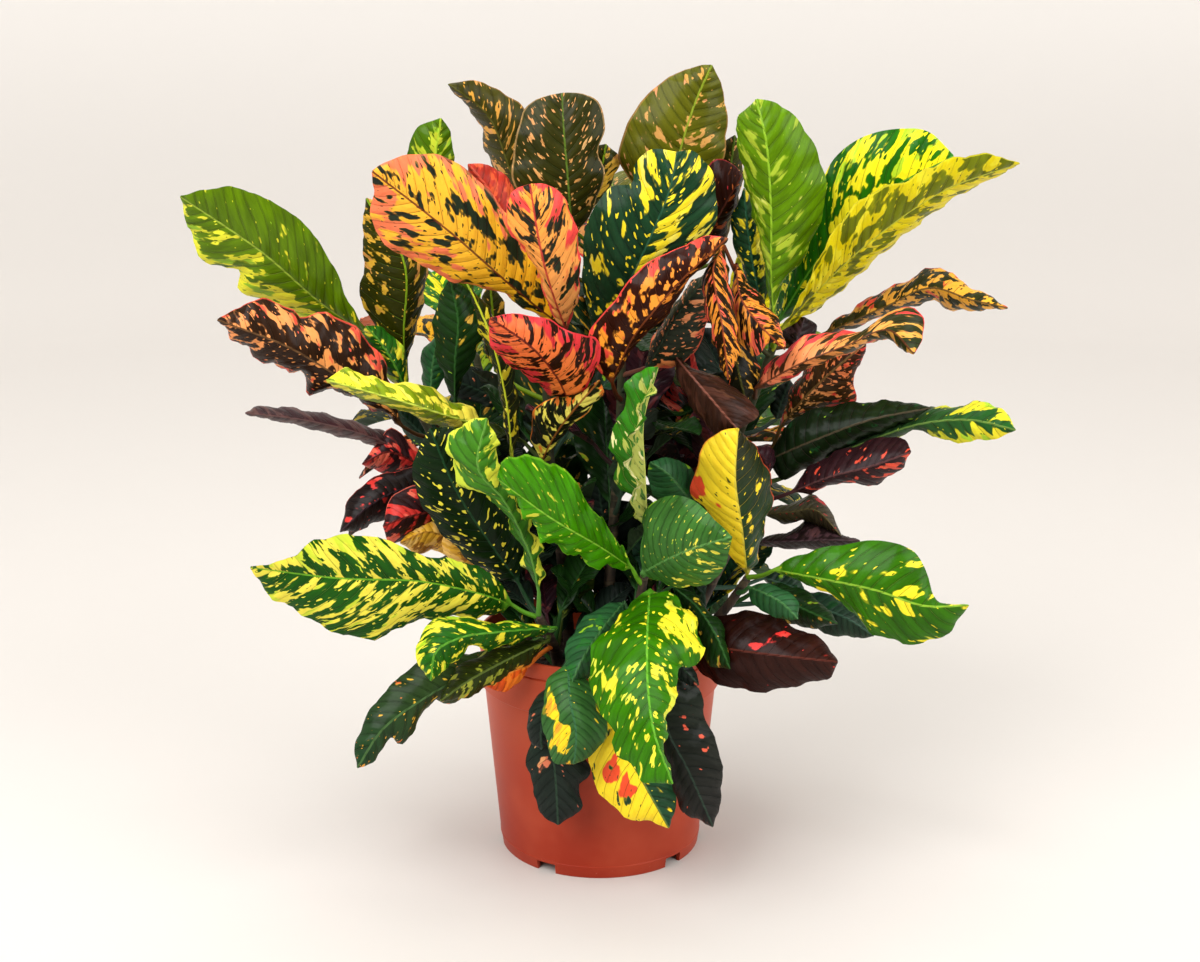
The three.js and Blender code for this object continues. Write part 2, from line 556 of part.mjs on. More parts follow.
// Leaves round the back, the sides and the inside: where on the stem (share of its path), heading and
// climb in degrees (heading 90 is straight back), length, width and how far the tip droops, in mm
const BACK_LEAVES = [
  { stem: "tall", at: 1.0, heading: 96, climb: 32, long: 120, wide: 72, droop: 40 },
  { stem: "tall", at: 0.92, heading: 62, climb: 38, long: 150, wide: 78, droop: 44 },
  { stem: "tall", at: 0.86, heading: 128, climb: 34, long: 150, wide: 74, droop: 46 },
  { stem: "tall", at: 0.74, heading: 92, climb: 24, long: 124, wide: 74, droop: 44 },
  { stem: "tall", at: 0.62, heading: 50, climb: 24, long: 108, wide: 62, droop: 38 },
  { stem: "tall", at: 0.62, heading: 136, climb: 8, long: 120, wide: 66, droop: 50 },
  { stem: "back_left", at: 1.0, heading: 116, climb: 42, long: 114, wide: 70, droop: 28 },
  { stem: "back_left", at: 0.92, heading: 140, climb: 28, long: 140, wide: 76, droop: 52 },
  { stem: "back_left", at: 0.84, heading: 106, climb: 34, long: 112, wide: 66, droop: 44 },
  { stem: "back_left", at: 0.66, heading: 150, climb: 18, long: 150, wide: 76, droop: 60 },
  { stem: "back_left", at: 0.66, heading: 186, climb: 4, long: 104, wide: 62, droop: 44 },
  { stem: "back_left", at: 0.5, heading: 168, climb: 0, long: 136, wide: 72, droop: 62 },
  { stem: "back_left", at: 0.4, heading: 122, climb: 2, long: 130, wide: 66, droop: 58 },
  { stem: "back_left", at: 0.26, heading: 158, climb: -8, long: 118, wide: 60, droop: 44 },
  { stem: "back_right", at: 1.0, heading: 52, climb: 58, long: 150, wide: 72, droop: 34 },
  { stem: "back_right", at: 0.92, heading: 34, climb: 26, long: 140, wide: 76, droop: 52 },
  { stem: "back_right", at: 0.84, heading: 76, climb: 34, long: 112, wide: 66, droop: 44 },
  { stem: "back_right", at: 0.66, heading: 32, climb: 16, long: 150, wide: 76, droop: 60 },
  { stem: "back_right", at: 0.66, heading: -14, climb: 12, long: 150, wide: 70, droop: 54 },
  { stem: "back_right", at: 0.5, heading: 14, climb: -2, long: 130, wide: 72, droop: 60 },
  { stem: "back_right", at: 0.4, heading: 58, climb: 2, long: 130, wide: 66, droop: 58 },
  { stem: "back_right", at: 0.26, heading: 38, climb: -8, long: 112, wide: 60, droop: 44 },
  { stem: "back_low", at: 1.0, heading: 90, climb: 56, long: 118, wide: 68, droop: 34 },
  { stem: "back_low", at: 0.94, heading: 134, climb: 30, long: 100, wide: 60, droop: 36 },
  { stem: "back_low", at: 0.9, heading: 46, climb: 28, long: 100, wide: 60, droop: 36 },
  { stem: "back_low", at: 0.7, heading: 94, climb: 10, long: 90, wide: 60, droop: 40 },
  { stem: "back_low", at: 0.5, heading: 124, climb: -4, long: 92, wide: 56, droop: 42 },
  { stem: "back_low", at: 0.5, heading: 60, climb: -4, long: 92, wide: 56, droop: 42 },
  { stem: "centre_left", at: 0.55, heading: 100, climb: 62, long: 112, wide: 64, droop: 14 },
  { stem: "centre_left", at: 0.25, heading: 99, climb: 62, long: 112, wide: 62, droop: 12 },
  { stem: "centre_left", at: 0.06, heading: 88, climb: 56, long: 100, wide: 62, droop: 12 },
  { stem: "centre", at: 0.45, heading: 98, climb: 66, long: 105, wide: 60, droop: 10 },
  { stem: "centre", at: 0.64, heading: 70, climb: 60, long: 110, wide: 68, droop: 12 },
  { stem: "centre", at: 0.08, heading: 84, climb: 76, long: 102, wide: 66, droop: 6 },
  { stem: "left", at: 0.55, heading: 84, climb: 62, long: 104, wide: 60, droop: 14 },
  { stem: "left", at: 0.3, heading: 96, climb: 68, long: 100, wide: 60, droop: 10 },
  { stem: "left", at: 0.08, heading: 100, climb: 74, long: 96, wide: 60, droop: 8 },
  { stem: "right_low", at: 0.1, heading: 84, climb: 66, long: 98, wide: 62, droop: 10 },
  { stem: "right", at: 0.35, heading: 96, climb: 58, long: 108, wide: 62, droop: 14 },
  { stem: "right", at: 0.6, heading: 126, climb: 56, long: 110, wide: 64, droop: 14 },
  { stem: "right", at: 0.62, heading: 60, climb: 52, long: 104, wide: 60, droop: 16 },
  { stem: "right_low", at: 0.15, heading: 44, climb: 42, long: 96, wide: 60, droop: 18 },
  { stem: "tall", at: 0.55, heading: 112, climb: 62, long: 112, wide: 66, droop: 14 },
  { stem: "tall", at: 0.3, heading: 84, climb: 56, long: 104, wide: 62, droop: 14 },
];
const BACK_PROFILE = [0.16, 0.62, 0.93, 1, 0.82, 0.42];
const BACK_FOLD = 18;
const BACK_WAVE = 5;

const wasm = await Module();
wasm.setup();
const { Manifold, Mesh } = wasm;

// A point on the sight line through (across, down) at depth y
function seen(across, down, y) {
  const x = (across - SIGHT_MIDDLE[0]) / SIGHT_LONG;
  const z = (SIGHT_MIDDLE[1] - down) / SIGHT_LONG;
  const line = new THREE.Vector3(
    x,
    Math.cos(EYE_DOWN) + z * Math.sin(EYE_DOWN),
    z * Math.cos(EYE_DOWN) - Math.sin(EYE_DOWN),
  );
  return line.multiplyScalar((y - EYE.y) / line.y).add(EYE);
}

function curve(points) {
  return new THREE.CatmullRomCurve3(points, false, "centripetal");
}

// A closed solid from points and faces; the faces are turned if they came out inside-out
function solid(points, faces) {
  const vertProperties = new Float32Array(points.flatMap((p) => [p.x, p.y, p.z]));
  const build = (triangles) => new Manifold(
    new Mesh({ numProp: 3, vertProperties, triVerts: new Uint32Array(triangles.flat()) }),
  );
  const made = build(faces);
  return made.volume() > 0 ? made : build(faces.map(([a, b, c]) => [a, c, b]));
}

// A round rod along a row of points, with a radius at each
function rod(points, radii, sides) {
  const out = [];
  const faces = [];
  const last = points.length - 1;
  let side = new THREE.Vector3(0, 1, 0.01);
  points.forEach((p, i) => {
    const along = points[Math.min(i + 1, last)].clone().sub(points[Math.max(i - 1, 0)]).normalize();
    side = side.clone().addScaledVector(along, -side.dot(along)).normalize();
    const up = new THREE.Vector3().crossVectors(along, side);
    for (let k = 0; k < sides; k++) {
      const a = (2 * Math.PI * k) / sides;
      const wide = side.clone().multiplyScalar(radii[i] * Math.cos(a));
      out.push(p.clone().add(wide).addScaledVector(up, radii[i] * Math.sin(a)));
    }
  });
  for (let i = 0; i < last; i++) {
    for (let k = 0; k < sides; k++) {
      const a = i * sides + k;
      const b = i * sides + ((k + 1) % sides);
      faces.push([a, b, b + sides], [a, b + sides, a + sides]);
    }
  }
  for (let k = 1; k < sides - 1; k++) {
    faces.push([0, k + 1, k], [last * sides, last * sides + k, last * sides + k + 1]);
  }
  return solid(out, faces);
}

// A leaf as one closed thin solid with the same triangles on both faces. Each row is its left, middle and
// right point with the thickness in the middle and at the edges.
function leafSolid(rows) {
  const last = rows.length - 1;
  const at = (i, j) => rows[Math.min(Math.max(i, 0), last)].points[Math.min(Math.max(j, 0), 2)];
  const upper = [];
  const lower = [];
  rows.forEach(({ thick }, i) => {
    for (let j = 0; j < 3; j++) {
      const along = at(i + 1, j).clone().sub(at(i - 1, j));
      const across = at(i, j + 1).clone().sub(at(i, j - 1));
      const out = new THREE.Vector3().crossVectors(across, along).normalize();
      upper.push(at(i, j).clone().addScaledVector(out, thick[j % 2] / 2));
      lower.push(at(i, j).clone().addScaledVector(out, -thick[j % 2] / 2));
    }
  });
  const faces = [];
  const under = upper.length;
  const quad = (a, b, c, d) => faces.push([a, b, c], [a, c, d]);
  for (let i = 0; i < last; i++) {
    const l = 3 * i;
    for (const a of [l, l + 1]) {
      faces.push([a, a + 1, a + 4], [a, a + 4, a + 3]);
      faces.push([a + under, a + 4 + under, a + 1 + under], [a + under, a + 3 + under, a + 4 + under]);
    }
    quad(l, l + 3, l + 3 + under, l + under);
    quad(l + 2, l + 2 + under, l + 5 + under, l + 5);
  }
  for (const j of [0, 1]) {
    const tip = 3 * last + j;
    quad(j, j + under, j + 1 + under, j + 1);
    quad(tip, tip + 1, tip + 1 + under, tip + under);
  }
  return solid([...upper, ...lower], faces);
}

// Rows of the petiole, from inside the stem, at the lowest share of its path or higher, to the base of the
// blade. A petiole whose leaf hangs outside the pot goes over the rim.
function petioleRows(stem, lowest, base, bladeRow) {
  const goal = base.clone();
  goal.z -= PETIOLE_RISE;
  let spring = stem.getPointAt(1);
  for (let s = lowest; s <= 1; s += 0.025) {
    const p = stem.getPointAt(s);
    if (p.distanceTo(goal) < spring.distanceTo(goal)) {
      spring = p;
    }
  }
  const middle = spring.clone().lerp(base, 0.55);
  middle.z -= 0.06 * spring.distanceTo(base);
  const reach = Math.hypot(base.x, base.y);
  if (reach > OVER_RIM && base.z < POT_HEIGHT + RIM_CLEAR + 5) {
    middle.set((base.x * OVER_RIM) / reach, (base.y * OVER_RIM) / reach, POT_HEIGHT + RIM_CLEAR);
  }
  const line = curve([spring, middle, base]);
  const steps = spring.distanceTo(base) > SHORT_PETIOLE ? [0, 0.5, 1] : [0, 1];
  return steps.map((s, i) => {
    const radius = i === 0 ? PETIOLE_LOW : PETIOLE_TOP;
    const along = line.getTangentAt(s);
    const side = bladeRow[2].clone().sub(bladeRow[0]);
    side.addScaledVector(along, -side.dot(along)).setLength(radius);
    const p = line.getPointAt(s);
    return { points: [p.clone().sub(side), p, p.clone().add(side)], thick: [radius, 2 * radius] };
  });
}

// A whole leaf from its stem to its tip
function leafFrom(stem, lowest, base, rib, left, right) {
  const blade = rib.map((p, i) => ({ points: [left[i], p, right[i]], thick: [BLADE_THICK, BLADE_THICK] }));
  blade[0].thick = [BLADE_THICK, PETIOLE_TOP];
  return leafSolid([...petioleRows(stem, lowest, base, blade[0].points), ...blade]);
}

// The shares of the way from base to tip at which a blade has its rows
function shares(count) {
  return Array.from({ length: count + 1 }, (_, i) => BASE_CUT + ((TIP_CUT - BASE_CUT) * i) / count);
}

function tracedLeaf(leaf, stem) {
  const midrib = curve(leaf.rib.map((p) => seen(...p)));
  const base = leaf.rib[0];
  const tip = leaf.rib[leaf.rib.length - 1];
  const long = midrib.getLength();
  const steps = shares(long > LARGE_BLADE ? 7 : long > SMALL_BLADE ? 5 : 4);
  const rib = steps.map((s) => midrib.getPointAt(s));
  const edge = (points, away) => {
    const line = curve([base, ...points, tip].map(([u, v]) => new THREE.Vector3(u, v, 0)));
    return steps.map((s, i) => {
      const p = line.getPointAt(s);
      return seen(p.x, p.y, rib[i].y + away * Math.sqrt(4 * s * (1 - s)));
    });
  };
  const left = edge(leaf.left, leaf.away[0]);
  const right = edge(leaf.right, leaf.away[1]);
  return leafFrom(stem, FRONT_SPRING, midrib.getPointAt(0), rib, left, right);
}

function backLeaf(leaf, stem) {
  const heading = THREE.MathUtils.degToRad(leaf.heading);
  const climb = THREE.MathUtils.degToRad(leaf.climb);
  const out = new THREE.Vector3(Math.cos(heading), Math.sin(heading), 0);
  const start = stem.getPointAt(leaf.at).clone().addScaledVector(out, 22);
  start.z += 12;
  const steps = shares(leaf.long > MIDDLE_BLADE ? 4 : 3);
  const rib = steps.map((s) => {
    const p = start.clone().addScaledVector(out, leaf.long * s * Math.cos(climb));
    p.z += leaf.long * s * Math.sin(climb) - leaf.droop * s * s;
    return p;
  });
  const across = new THREE.Vector3(0, 0, 1).cross(out);
  const fold = THREE.MathUtils.degToRad(BACK_FOLD);
  const profile = curve(BACK_PROFILE.map((w, i) => new THREE.Vector3(i, w, 0)));
  const edge = (hand) => steps.map((s, i) => {
    const half = (leaf.wide / 2) * profile.getPoint(s).y;
    const p = rib[i].clone().addScaledVector(across, hand * half * Math.cos(fold));
    p.z += half * Math.sin(fold) + BACK_WAVE * Math.sin(9 * s + hand) * Math.sin(Math.PI * s);
    return p;
  });
  return leafFrom(stem, BACK_SPRING, start, rib, edge(1), edge(-1));
}

function stemCurve({ foot, path }) {
  const [x, y] = foot;
  const low = new THREE.Vector3(x, y, SOIL_CROWN + 6);
  return curve([low, ...path.map((p) => new THREE.Vector3(...p))]);
}

function leafyStem(name) {
  const stem = stemCurve(STEMS[name]);
  const [x, y] = STEMS[name].foot;
  const points = [new THREE.Vector3(x, y, HOLE_FLOOR + GAP)];
  const radii = [STEM_LOW];
  for (let i = 0; i <= 5; i++) {
    points.push(stem.getPointAt(i / 5));
    radii.push(STEM_LOW + ((STEM_TOP - STEM_LOW) * i) / 5);
  }
  const own = (leaf) => leaf.stem === name;
  return Manifold.union([
    rod(points, radii, STEM_SIDES),
    ...LEAVES.filter(own).map((leaf) => tracedLeaf(leaf, stem)),
    ...BACK_LEAVES.filter(own).map((leaf) => backLeaf(leaf, stem)),
  ]);
}

// A closed solid from a geometry, with its doubled points merged and faces without area left out
function solidFrom(geometry) {
  geometry.deleteAttribute("normal");
  geometry.deleteAttribute("uv");
  const merged = mergeVertices(geometry, MERGE);
  const position = merged.getAttribute("position");
  const points = Array.from({ length: position.count }, (_, i) => (
    new THREE.Vector3().fromBufferAttribute(position, i)
  ));
  const corners = merged.getIndex().array;
  const faces = [];
  for (let i = 0; i < corners.length; i += 3) {
    const face = [...corners.slice(i, i + 3)];
    if (new Set(face).size === 3) {
      faces.push(face);
    }
  }
  return solid(points, faces);
}

// A solid of revolution about the Z axis from a closed outline of [radius, height]
function turned(outline, sides) {
  const closed = [...outline, outline[0]].map(([r, z]) => new THREE.Vector2(r, z));
  return solidFrom(new THREE.LatheGeometry(closed, sides).rotateX(Math.PI / 2));
}

// An upright round bar, for cutting a hole
function bar(radius, low, high, sides, x, y) {
  const geometry = new THREE.CylinderGeometry(radius, radius, high - low, sides);
  return solidFrom(geometry.rotateX(Math.PI / 2).translate(x, y, (low + high) / 2));
}

// Inner radius of the tapering body at a height
function innerRadius(z) {
  return THREE.MathUtils.mapLinear(z, 0, RIM_LOW, FOOT_RADIUS, BODY_TOP_RADIUS) - WALL;
}

function makePot() {
  const floor = FOOT_HEIGHT + FLOOR_THICK;
  let pot = turned([
    [FOOT_RADIUS, 0],
    [FOOT_RADIUS + 1.5, RING_HIGH - 0.6],
    [FOOT_RADIUS + 1.1, RING_HIGH],
    [BODY_TOP_RADIUS, RIM_LOW],
    [RIM_RADIUS - 0.8, RIM_LOW + 1.6],
    [RIM_RADIUS - 0.8, RIM_STEP],
    [RIM_RADIUS, RIM_STEP + 0.8],
    [RIM_RADIUS, POT_HEIGHT],
    [RIM_RADIUS - 2.7, POT_HEIGHT],
    [RIM_RADIUS - 4.2, RIM_LOW + 2.5],
    [innerRadius(RIM_LOW - 2), RIM_LOW - 2],
    [innerRadius(floor), floor],
    [0, floor],
    [0, FOOT_HEIGHT],
    [innerRadius(0) - 0.6, FOOT_HEIGHT],
    [innerRadius(0) - 0.6, 0],
  ], POT_SIDES);
  for (const turn of NOTCH_TURNS) {
    const notch = new THREE.BoxGeometry(NOTCH_DEEP, NOTCH_WIDE, NOTCH_HIGH + 2);
    notch.translate(FOOT_RADIUS - 1, 0, NOTCH_HIGH / 2 - 1).rotateZ(THREE.MathUtils.degToRad(turn - 90));
    pot = pot.subtract(solidFrom(notch));
  }
  for (let i = 0; i < DRAINS; i++) {
    const turn = THREE.MathUtils.degToRad(DRAIN_TURN + (360 * i) / DRAINS);
    const x = DRAIN_PLACE * Math.cos(turn);
    const y = DRAIN_PLACE * Math.sin(turn);
    pot = pot.subtract(bar(DRAIN_RADIUS, 0, 2 * FOOT_HEIGHT, HOLE_SIDES, x, y));
  }
  return pot;
}

function makeSoil() {
  const low = FOOT_HEIGHT + FLOOR_THICK + GAP;
  let soil = turned([
    [0, low],
    [innerRadius(low) - SOIL_GAP, low],
    [innerRadius(SOIL_EDGE) - SOIL_GAP, SOIL_EDGE],
    [innerRadius(SOIL_EDGE) - 14, SOIL_EDGE + 2.4],
    [44, SOIL_CROWN - 1.2],
    [0, SOIL_CROWN],
  ], SOIL_SIDES);
  for (const { foot } of Object.values(STEMS)) {
    soil = soil.subtract(bar(HOLE_RADIUS, HOLE_FLOOR, POT_HEIGHT, HOLE_SIDES, ...foot));
  }
  return soil;
}

function toMesh(made, name, color) {
  const { vertProperties, triVerts, numProp } = made.getMesh();
  const position = new Float32Array((vertProperties.length / numProp) * 3);
  for (let i = 0; i < position.length / 3; i++) {
    position.set(vertProperties.subarray(i * numProp, i * numProp + 3), i * 3);
  }
  const geometry = new THREE.BufferGeometry();
  geometry.setAttribute("position", new THREE.BufferAttribute(position, 3));
  geometry.setIndex(new THREE.BufferAttribute(new Uint32Array(triVerts), 1));
  const mesh = new THREE.Mesh(geometry, new THREE.MeshStandardMaterial({ color }));
  mesh.name = name;
  return mesh;
}

const group = new THREE.Group();
group.name = "potted_croton";
group.add(toMesh(makePot(), "pot", 0xb4462e));
group.add(toMesh(makeSoil(), "potting_soil", 0x2a1c14));
for (const name of Object.keys(STEMS)) {
  group.add(toMesh(leafyStem(name), `${name}_leafy_stem`, 0x4c8a2a));
}

export default group;
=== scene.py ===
"""A potted croton: a tapered plastic nursery pot, potting soil and leafy stems with variegated leaves."""
import math
from statistics import NormalDist

import bpy
import numpy as np
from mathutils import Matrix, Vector


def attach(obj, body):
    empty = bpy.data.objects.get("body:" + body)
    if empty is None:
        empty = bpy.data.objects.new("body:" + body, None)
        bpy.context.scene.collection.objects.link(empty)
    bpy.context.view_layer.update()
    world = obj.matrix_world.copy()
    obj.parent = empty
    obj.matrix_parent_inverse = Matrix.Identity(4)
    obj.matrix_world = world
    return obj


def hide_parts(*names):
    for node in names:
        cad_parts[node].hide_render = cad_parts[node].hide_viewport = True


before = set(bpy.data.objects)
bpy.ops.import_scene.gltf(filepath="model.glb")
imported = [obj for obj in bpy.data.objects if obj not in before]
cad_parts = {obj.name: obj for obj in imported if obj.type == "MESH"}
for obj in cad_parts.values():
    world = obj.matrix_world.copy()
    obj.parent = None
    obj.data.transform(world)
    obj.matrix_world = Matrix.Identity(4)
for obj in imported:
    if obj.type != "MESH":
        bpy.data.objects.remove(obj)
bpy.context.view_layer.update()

MM = 0.001
SEED = 11
ROUND = np.linspace(0, 2 * math.pi, 96, endpoint=False)
CURVE_STEPS = 40

# The eye point of the picture, in mm. A sight line through (across, down) is followed to a depth y.
EYE = np.array([0.0, -1385.0, 660.0])
EYE_DOWN = math.radians(13.6)
SIGHT_LONG = 1673.0
SIGHT_MIDDLE = (600.0, 481.0)
PICTURE_WIDE = 1200.0
SENSOR = 36.0
VIEW_RANGE = 50.0, 60000.0

# Pot, in mm
RIM_RADIUS = 105.0
POT_HEIGHT = 193.0
WALL = 2.4
RIM_THICK = 2.7
RIM_LOW = 148.0
RIM_STEP = 180.0
LIP_EDGE = 0.5
LIP_PROUD = 0.8
GROOVE_DEEP = 1.4
GROOVE_HIGH = 1.2
BAND_SLOPE = 1.6
BAND_THICK = 4.2
SHELF_RISE = 2.5
SHELF_DROP = 2.0
BODY_TOP_RADIUS = 101.0
FOOT_RADIUS = 87.5
FOOT_FLARE = 1.5
FOOT_THICKER = 0.6
FOOT_HEIGHT = 10.0
FLOOR_TOP = 13.0
RING_HIGH = 11.0
RING_EDGE = 0.6
RING_STEP = 0.4
UNDER_FILLET = 0.8
RING_FILLET = 0.6
WALL_FILLET = 0.7
NOTCH_TURNS = (-134.0, -82.0, -31.5, 45.5, 86.0, 134.0)
NOTCH_WIDE = 18.0
NOTCH_HIGH = 8.5
DRAINS = 4
DRAIN_TURN = 22.5
DRAIN_RADIUS = 4.5
DRAIN_PLACE = 66.0
DRAIN_SIDES = 32
DRILL_SPARE = 2.0
POT_SIDES = 192
POT_SHARP = math.radians(32)

# Potting soil, in mm. The shoulder is given by how far it lies inward of the edge and above it, and the
# middle by its radius and how far it lies below the crown.
SOIL_EDGE = 160.0
SOIL_CROWN = 166.0
SOIL_GAP = 0.8
SOIL_LIFT = 0.35
SOIL_SHOULDER = 14.0, 2.4
SOIL_MIDDLE = 44.0, 1.2
SOIL_ROWS = 40
SOIL_WAVES = 8
SOIL_WAVE_HIGH = 1.3
SOIL_WAVE_TURNS = 0.05, 0.06
SOIL_LEVEL_MARGIN = 4.0

# What lies on the faces that look up by more than GRAIN_LEVEL: name, number per square metre, smallest and
# largest radius in metres, and flatness
GRAINS = (
    ("soil_crumbs", 39000.0, 0.0009, 0.0026, 0.7),
    ("bark_chips", 3600.0, 0.0022, 0.0052, 0.35),
    ("perlite_grains", 2600.0, 0.0009, 0.0019, 0.85),
)
GRAIN_INPUTS = ("Per square metre", "Smallest", "Largest", "Flatness", "Seed")
GRAIN_LEVEL = 0.6
GRAIN_ROUNDS = 2

# Stems, in mm
HOLE_FLOOR = 112.0
FOOT_GAP = 0.4
STEM_START = SOIL_CROWN + 6
STEM_LOW = 5.4
STEM_TOP = 3.2
STEM_TAPER_START = -0.2
STEM_END = 0.55
STEM_SIDES = 14
STEM_ROWS = 60
BURIED_ROWS = 12
KNOT_HIGH = 0.35
KNOT_TURN = 1.9
LEAF_SHARP = math.radians(75)

# Petioles, in mm. FRONT_SPRING and BACK_SPRING are the lowest places where one leaves its stem, as shares
# of the stem's length. OVER_RIM, RIM_CLEAR and LOW_LEAF take the petioles of the lowest leaves over the
# pot's rim.
PETIOLE_LOW = 2.3
PETIOLE_TOP = 1.5
PETIOLE_RISE = 24.0
PETIOLE_MIDDLE = 0.55
PETIOLE_SAG = 0.06
PETIOLE_ROWS = 9
STALK_EDGE = 0.02
STALK_RUN = 60.0, 6.0
FRONT_SPRING = 0.3
BACK_SPRING = 0.025
SPRING_STEP = 0.025
OVER_RIM = 96.0
RIM_CLEAR = 6.0
LOW_LEAF = 11.0

# Blades, in mm
BLADE_HALF = 0.36
RIB_WIDE = 1.8
RIB_SUNK = 0.3
RIB_DEEP = 1.3
BLADE_ARCH = 0.09
EDGE_WAVE = 1.5
SCALLOP = 0.45
SCALLOP_DRIFT = 31.0
RUFFLE_LONG = 4.2
WAVE_START = 18.0
BASE_START = 0.03
TIP_END = 0.998
ROW_GAP = 2.8
ROW_COUNTS = 26, 60
ROW_CROWD = 0.055
VEINS = 13
VEIN_GAPS = 6.0, 11.0
VEIN_LEAN = 0.45
VEIN_BEND = 0.006
VEIN_RELIEF = 0.42

# Marks on the blades: spread of each noise, size of a mark, and how wide the soft edges are
PATCH_SPREAD = 0.096
TINT_SPREAD = 0.08
SPOT_SPREAD = 0.125
PATCH_WIDE = 1.4
PATCH_HIGH = 1.1
STROKE_SHARE = 0.37
PATTERN_APART = 61.7
LEAST_SHARE = 0.0004
PATCH_BLUR = 0.006
SPOT_BLUR = 0.012
TINT_BLUR = 0.03
SIDE_VEIN = 0.466, 0.49
# The next two set painted shade: how wide, and how dark, the colour is darkened in the grooves beside the
# side veins
VEIN_FLANK = 0.3, 0.47
VEIN_SHADE_DARK = 0.5
MIDRIB_HALF = 0.5, 1.1
MARGIN = 0.95, 0.975
SHEEN = {"Specular IOR Level": 0.05, "Coat Weight": 0.12, "Coat Roughness": 0.2}

# The columns of a blade, from the left edge over the midrib to the right edge
ACROSS = np.array([0, 0.03, 0.08, 0.16, 0.28, 0.42, 0.56, 0.7, 0.83, 0.93, 1.0])
ACROSS = np.r_[-ACROSS[:0:-1], ACROSS]

# Where each leafy stem leaves the soil and the points it grows through, in mm
STEMS = {
    "left": [(-58, 8), (-84, 10, 250), (-128, 16, 330), (-166, 20, 404)],
    "centre_left": [(-26, 0), (-34, -4, 270), (-44, -10, 370), (-43, -15, 453)],
    "centre": [(4, -10), (10, -14, 270), (16, -20, 360), (18, -25, 440)],
    "tall": [(6, 34), (10, 46, 280), (16, 62, 420), (19, 70, 530)],
    "right": [(40, 18), (66, 14, 260), (112, 8, 350), (147, 0, 446)],
    "right_low": [(66, -8), (92, -10, 230), (120, -12, 290), (141, -15, 348)],
    "front_left": [(-34, -50), (-38, -62, 196), (-44, -76, 216), (-50, -88, 234)],
    "front": [(18, -42), (24, -52, 200), (32, -66, 236), (37, -80, 270)],
    "front_right": [(62, -46), (78, -54, 198), (102, -66, 230), (121, -75, 262)],
    "back_low": [(2, 66), (3, 76, 215), (4, 84, 260), (3, 90, 310)],
    "back_left": [(-42, 52), (-62, 66, 250), (-92, 84, 340), (-112, 98, 420)],
    "back_right": [(42, 54), (62, 68, 250), (92, 86, 340), (112, 100, 410)],
}

# Colours, as sRGB
MID_GREEN = "#2a6a2c"
DARK_GREEN = "#17401f"
LIME = "#8fbf2a"
AMBER = "#f2a93a"
PEACH = "#e6a26a"
CORAL = "#e85f45"
RED = "#c8323a"
UNDERSIDE_COLOUR = "#9aa58c"
# The pot's next two colours are painted light and shade: darker towards the foot, lighter towards the rim
POT_SHADED_FOOT_COLOUR = "#962a12"
POT_LIT_TOP_COLOUR = "#bc4828"
POT_BLOOM_COLOUR = "#c65c3c"
POT_WORN_COLOUR = "#d98c74"
FLOOR_COLOUR = "#d1ccc6"
BACKDROP_COLOUR = "#ebe8e4"
# GLOW_COLOUR is painted light: the far floor and backdrop give off this light themselves, though they are no
# lamp
GLOW_COLOUR = "#7a7774"
DIM_COLOUR = "#6a6866"

# The floor's section in mm, and the depths between which it goes from dim to pale, in metres
STAGE_OUTLINE = [(0, 0), (2200, 0), (3300, 30), (4100, 520), (4400, 1600), (4500, 5200)]
STAGE_DIM = -2.6, -0.4

# Light: colour and strength of the air, and lamps as name, place and size in metres, and watts
AIR_COLOUR = (1, 0.99, 0.975, 1)
AIR_LIGHT = 0.31
LAMP_TARGET = (0, 0, 0.35)
LAMPS = (
    ("key", (-1.6, -2.0, 2.6), 2.4, 129),
    ("fill", (2.2, -1.6, 1.8), 2.2, 72),
    ("top", (0.0, 0.6, 3.0), 2.4, 52),
)

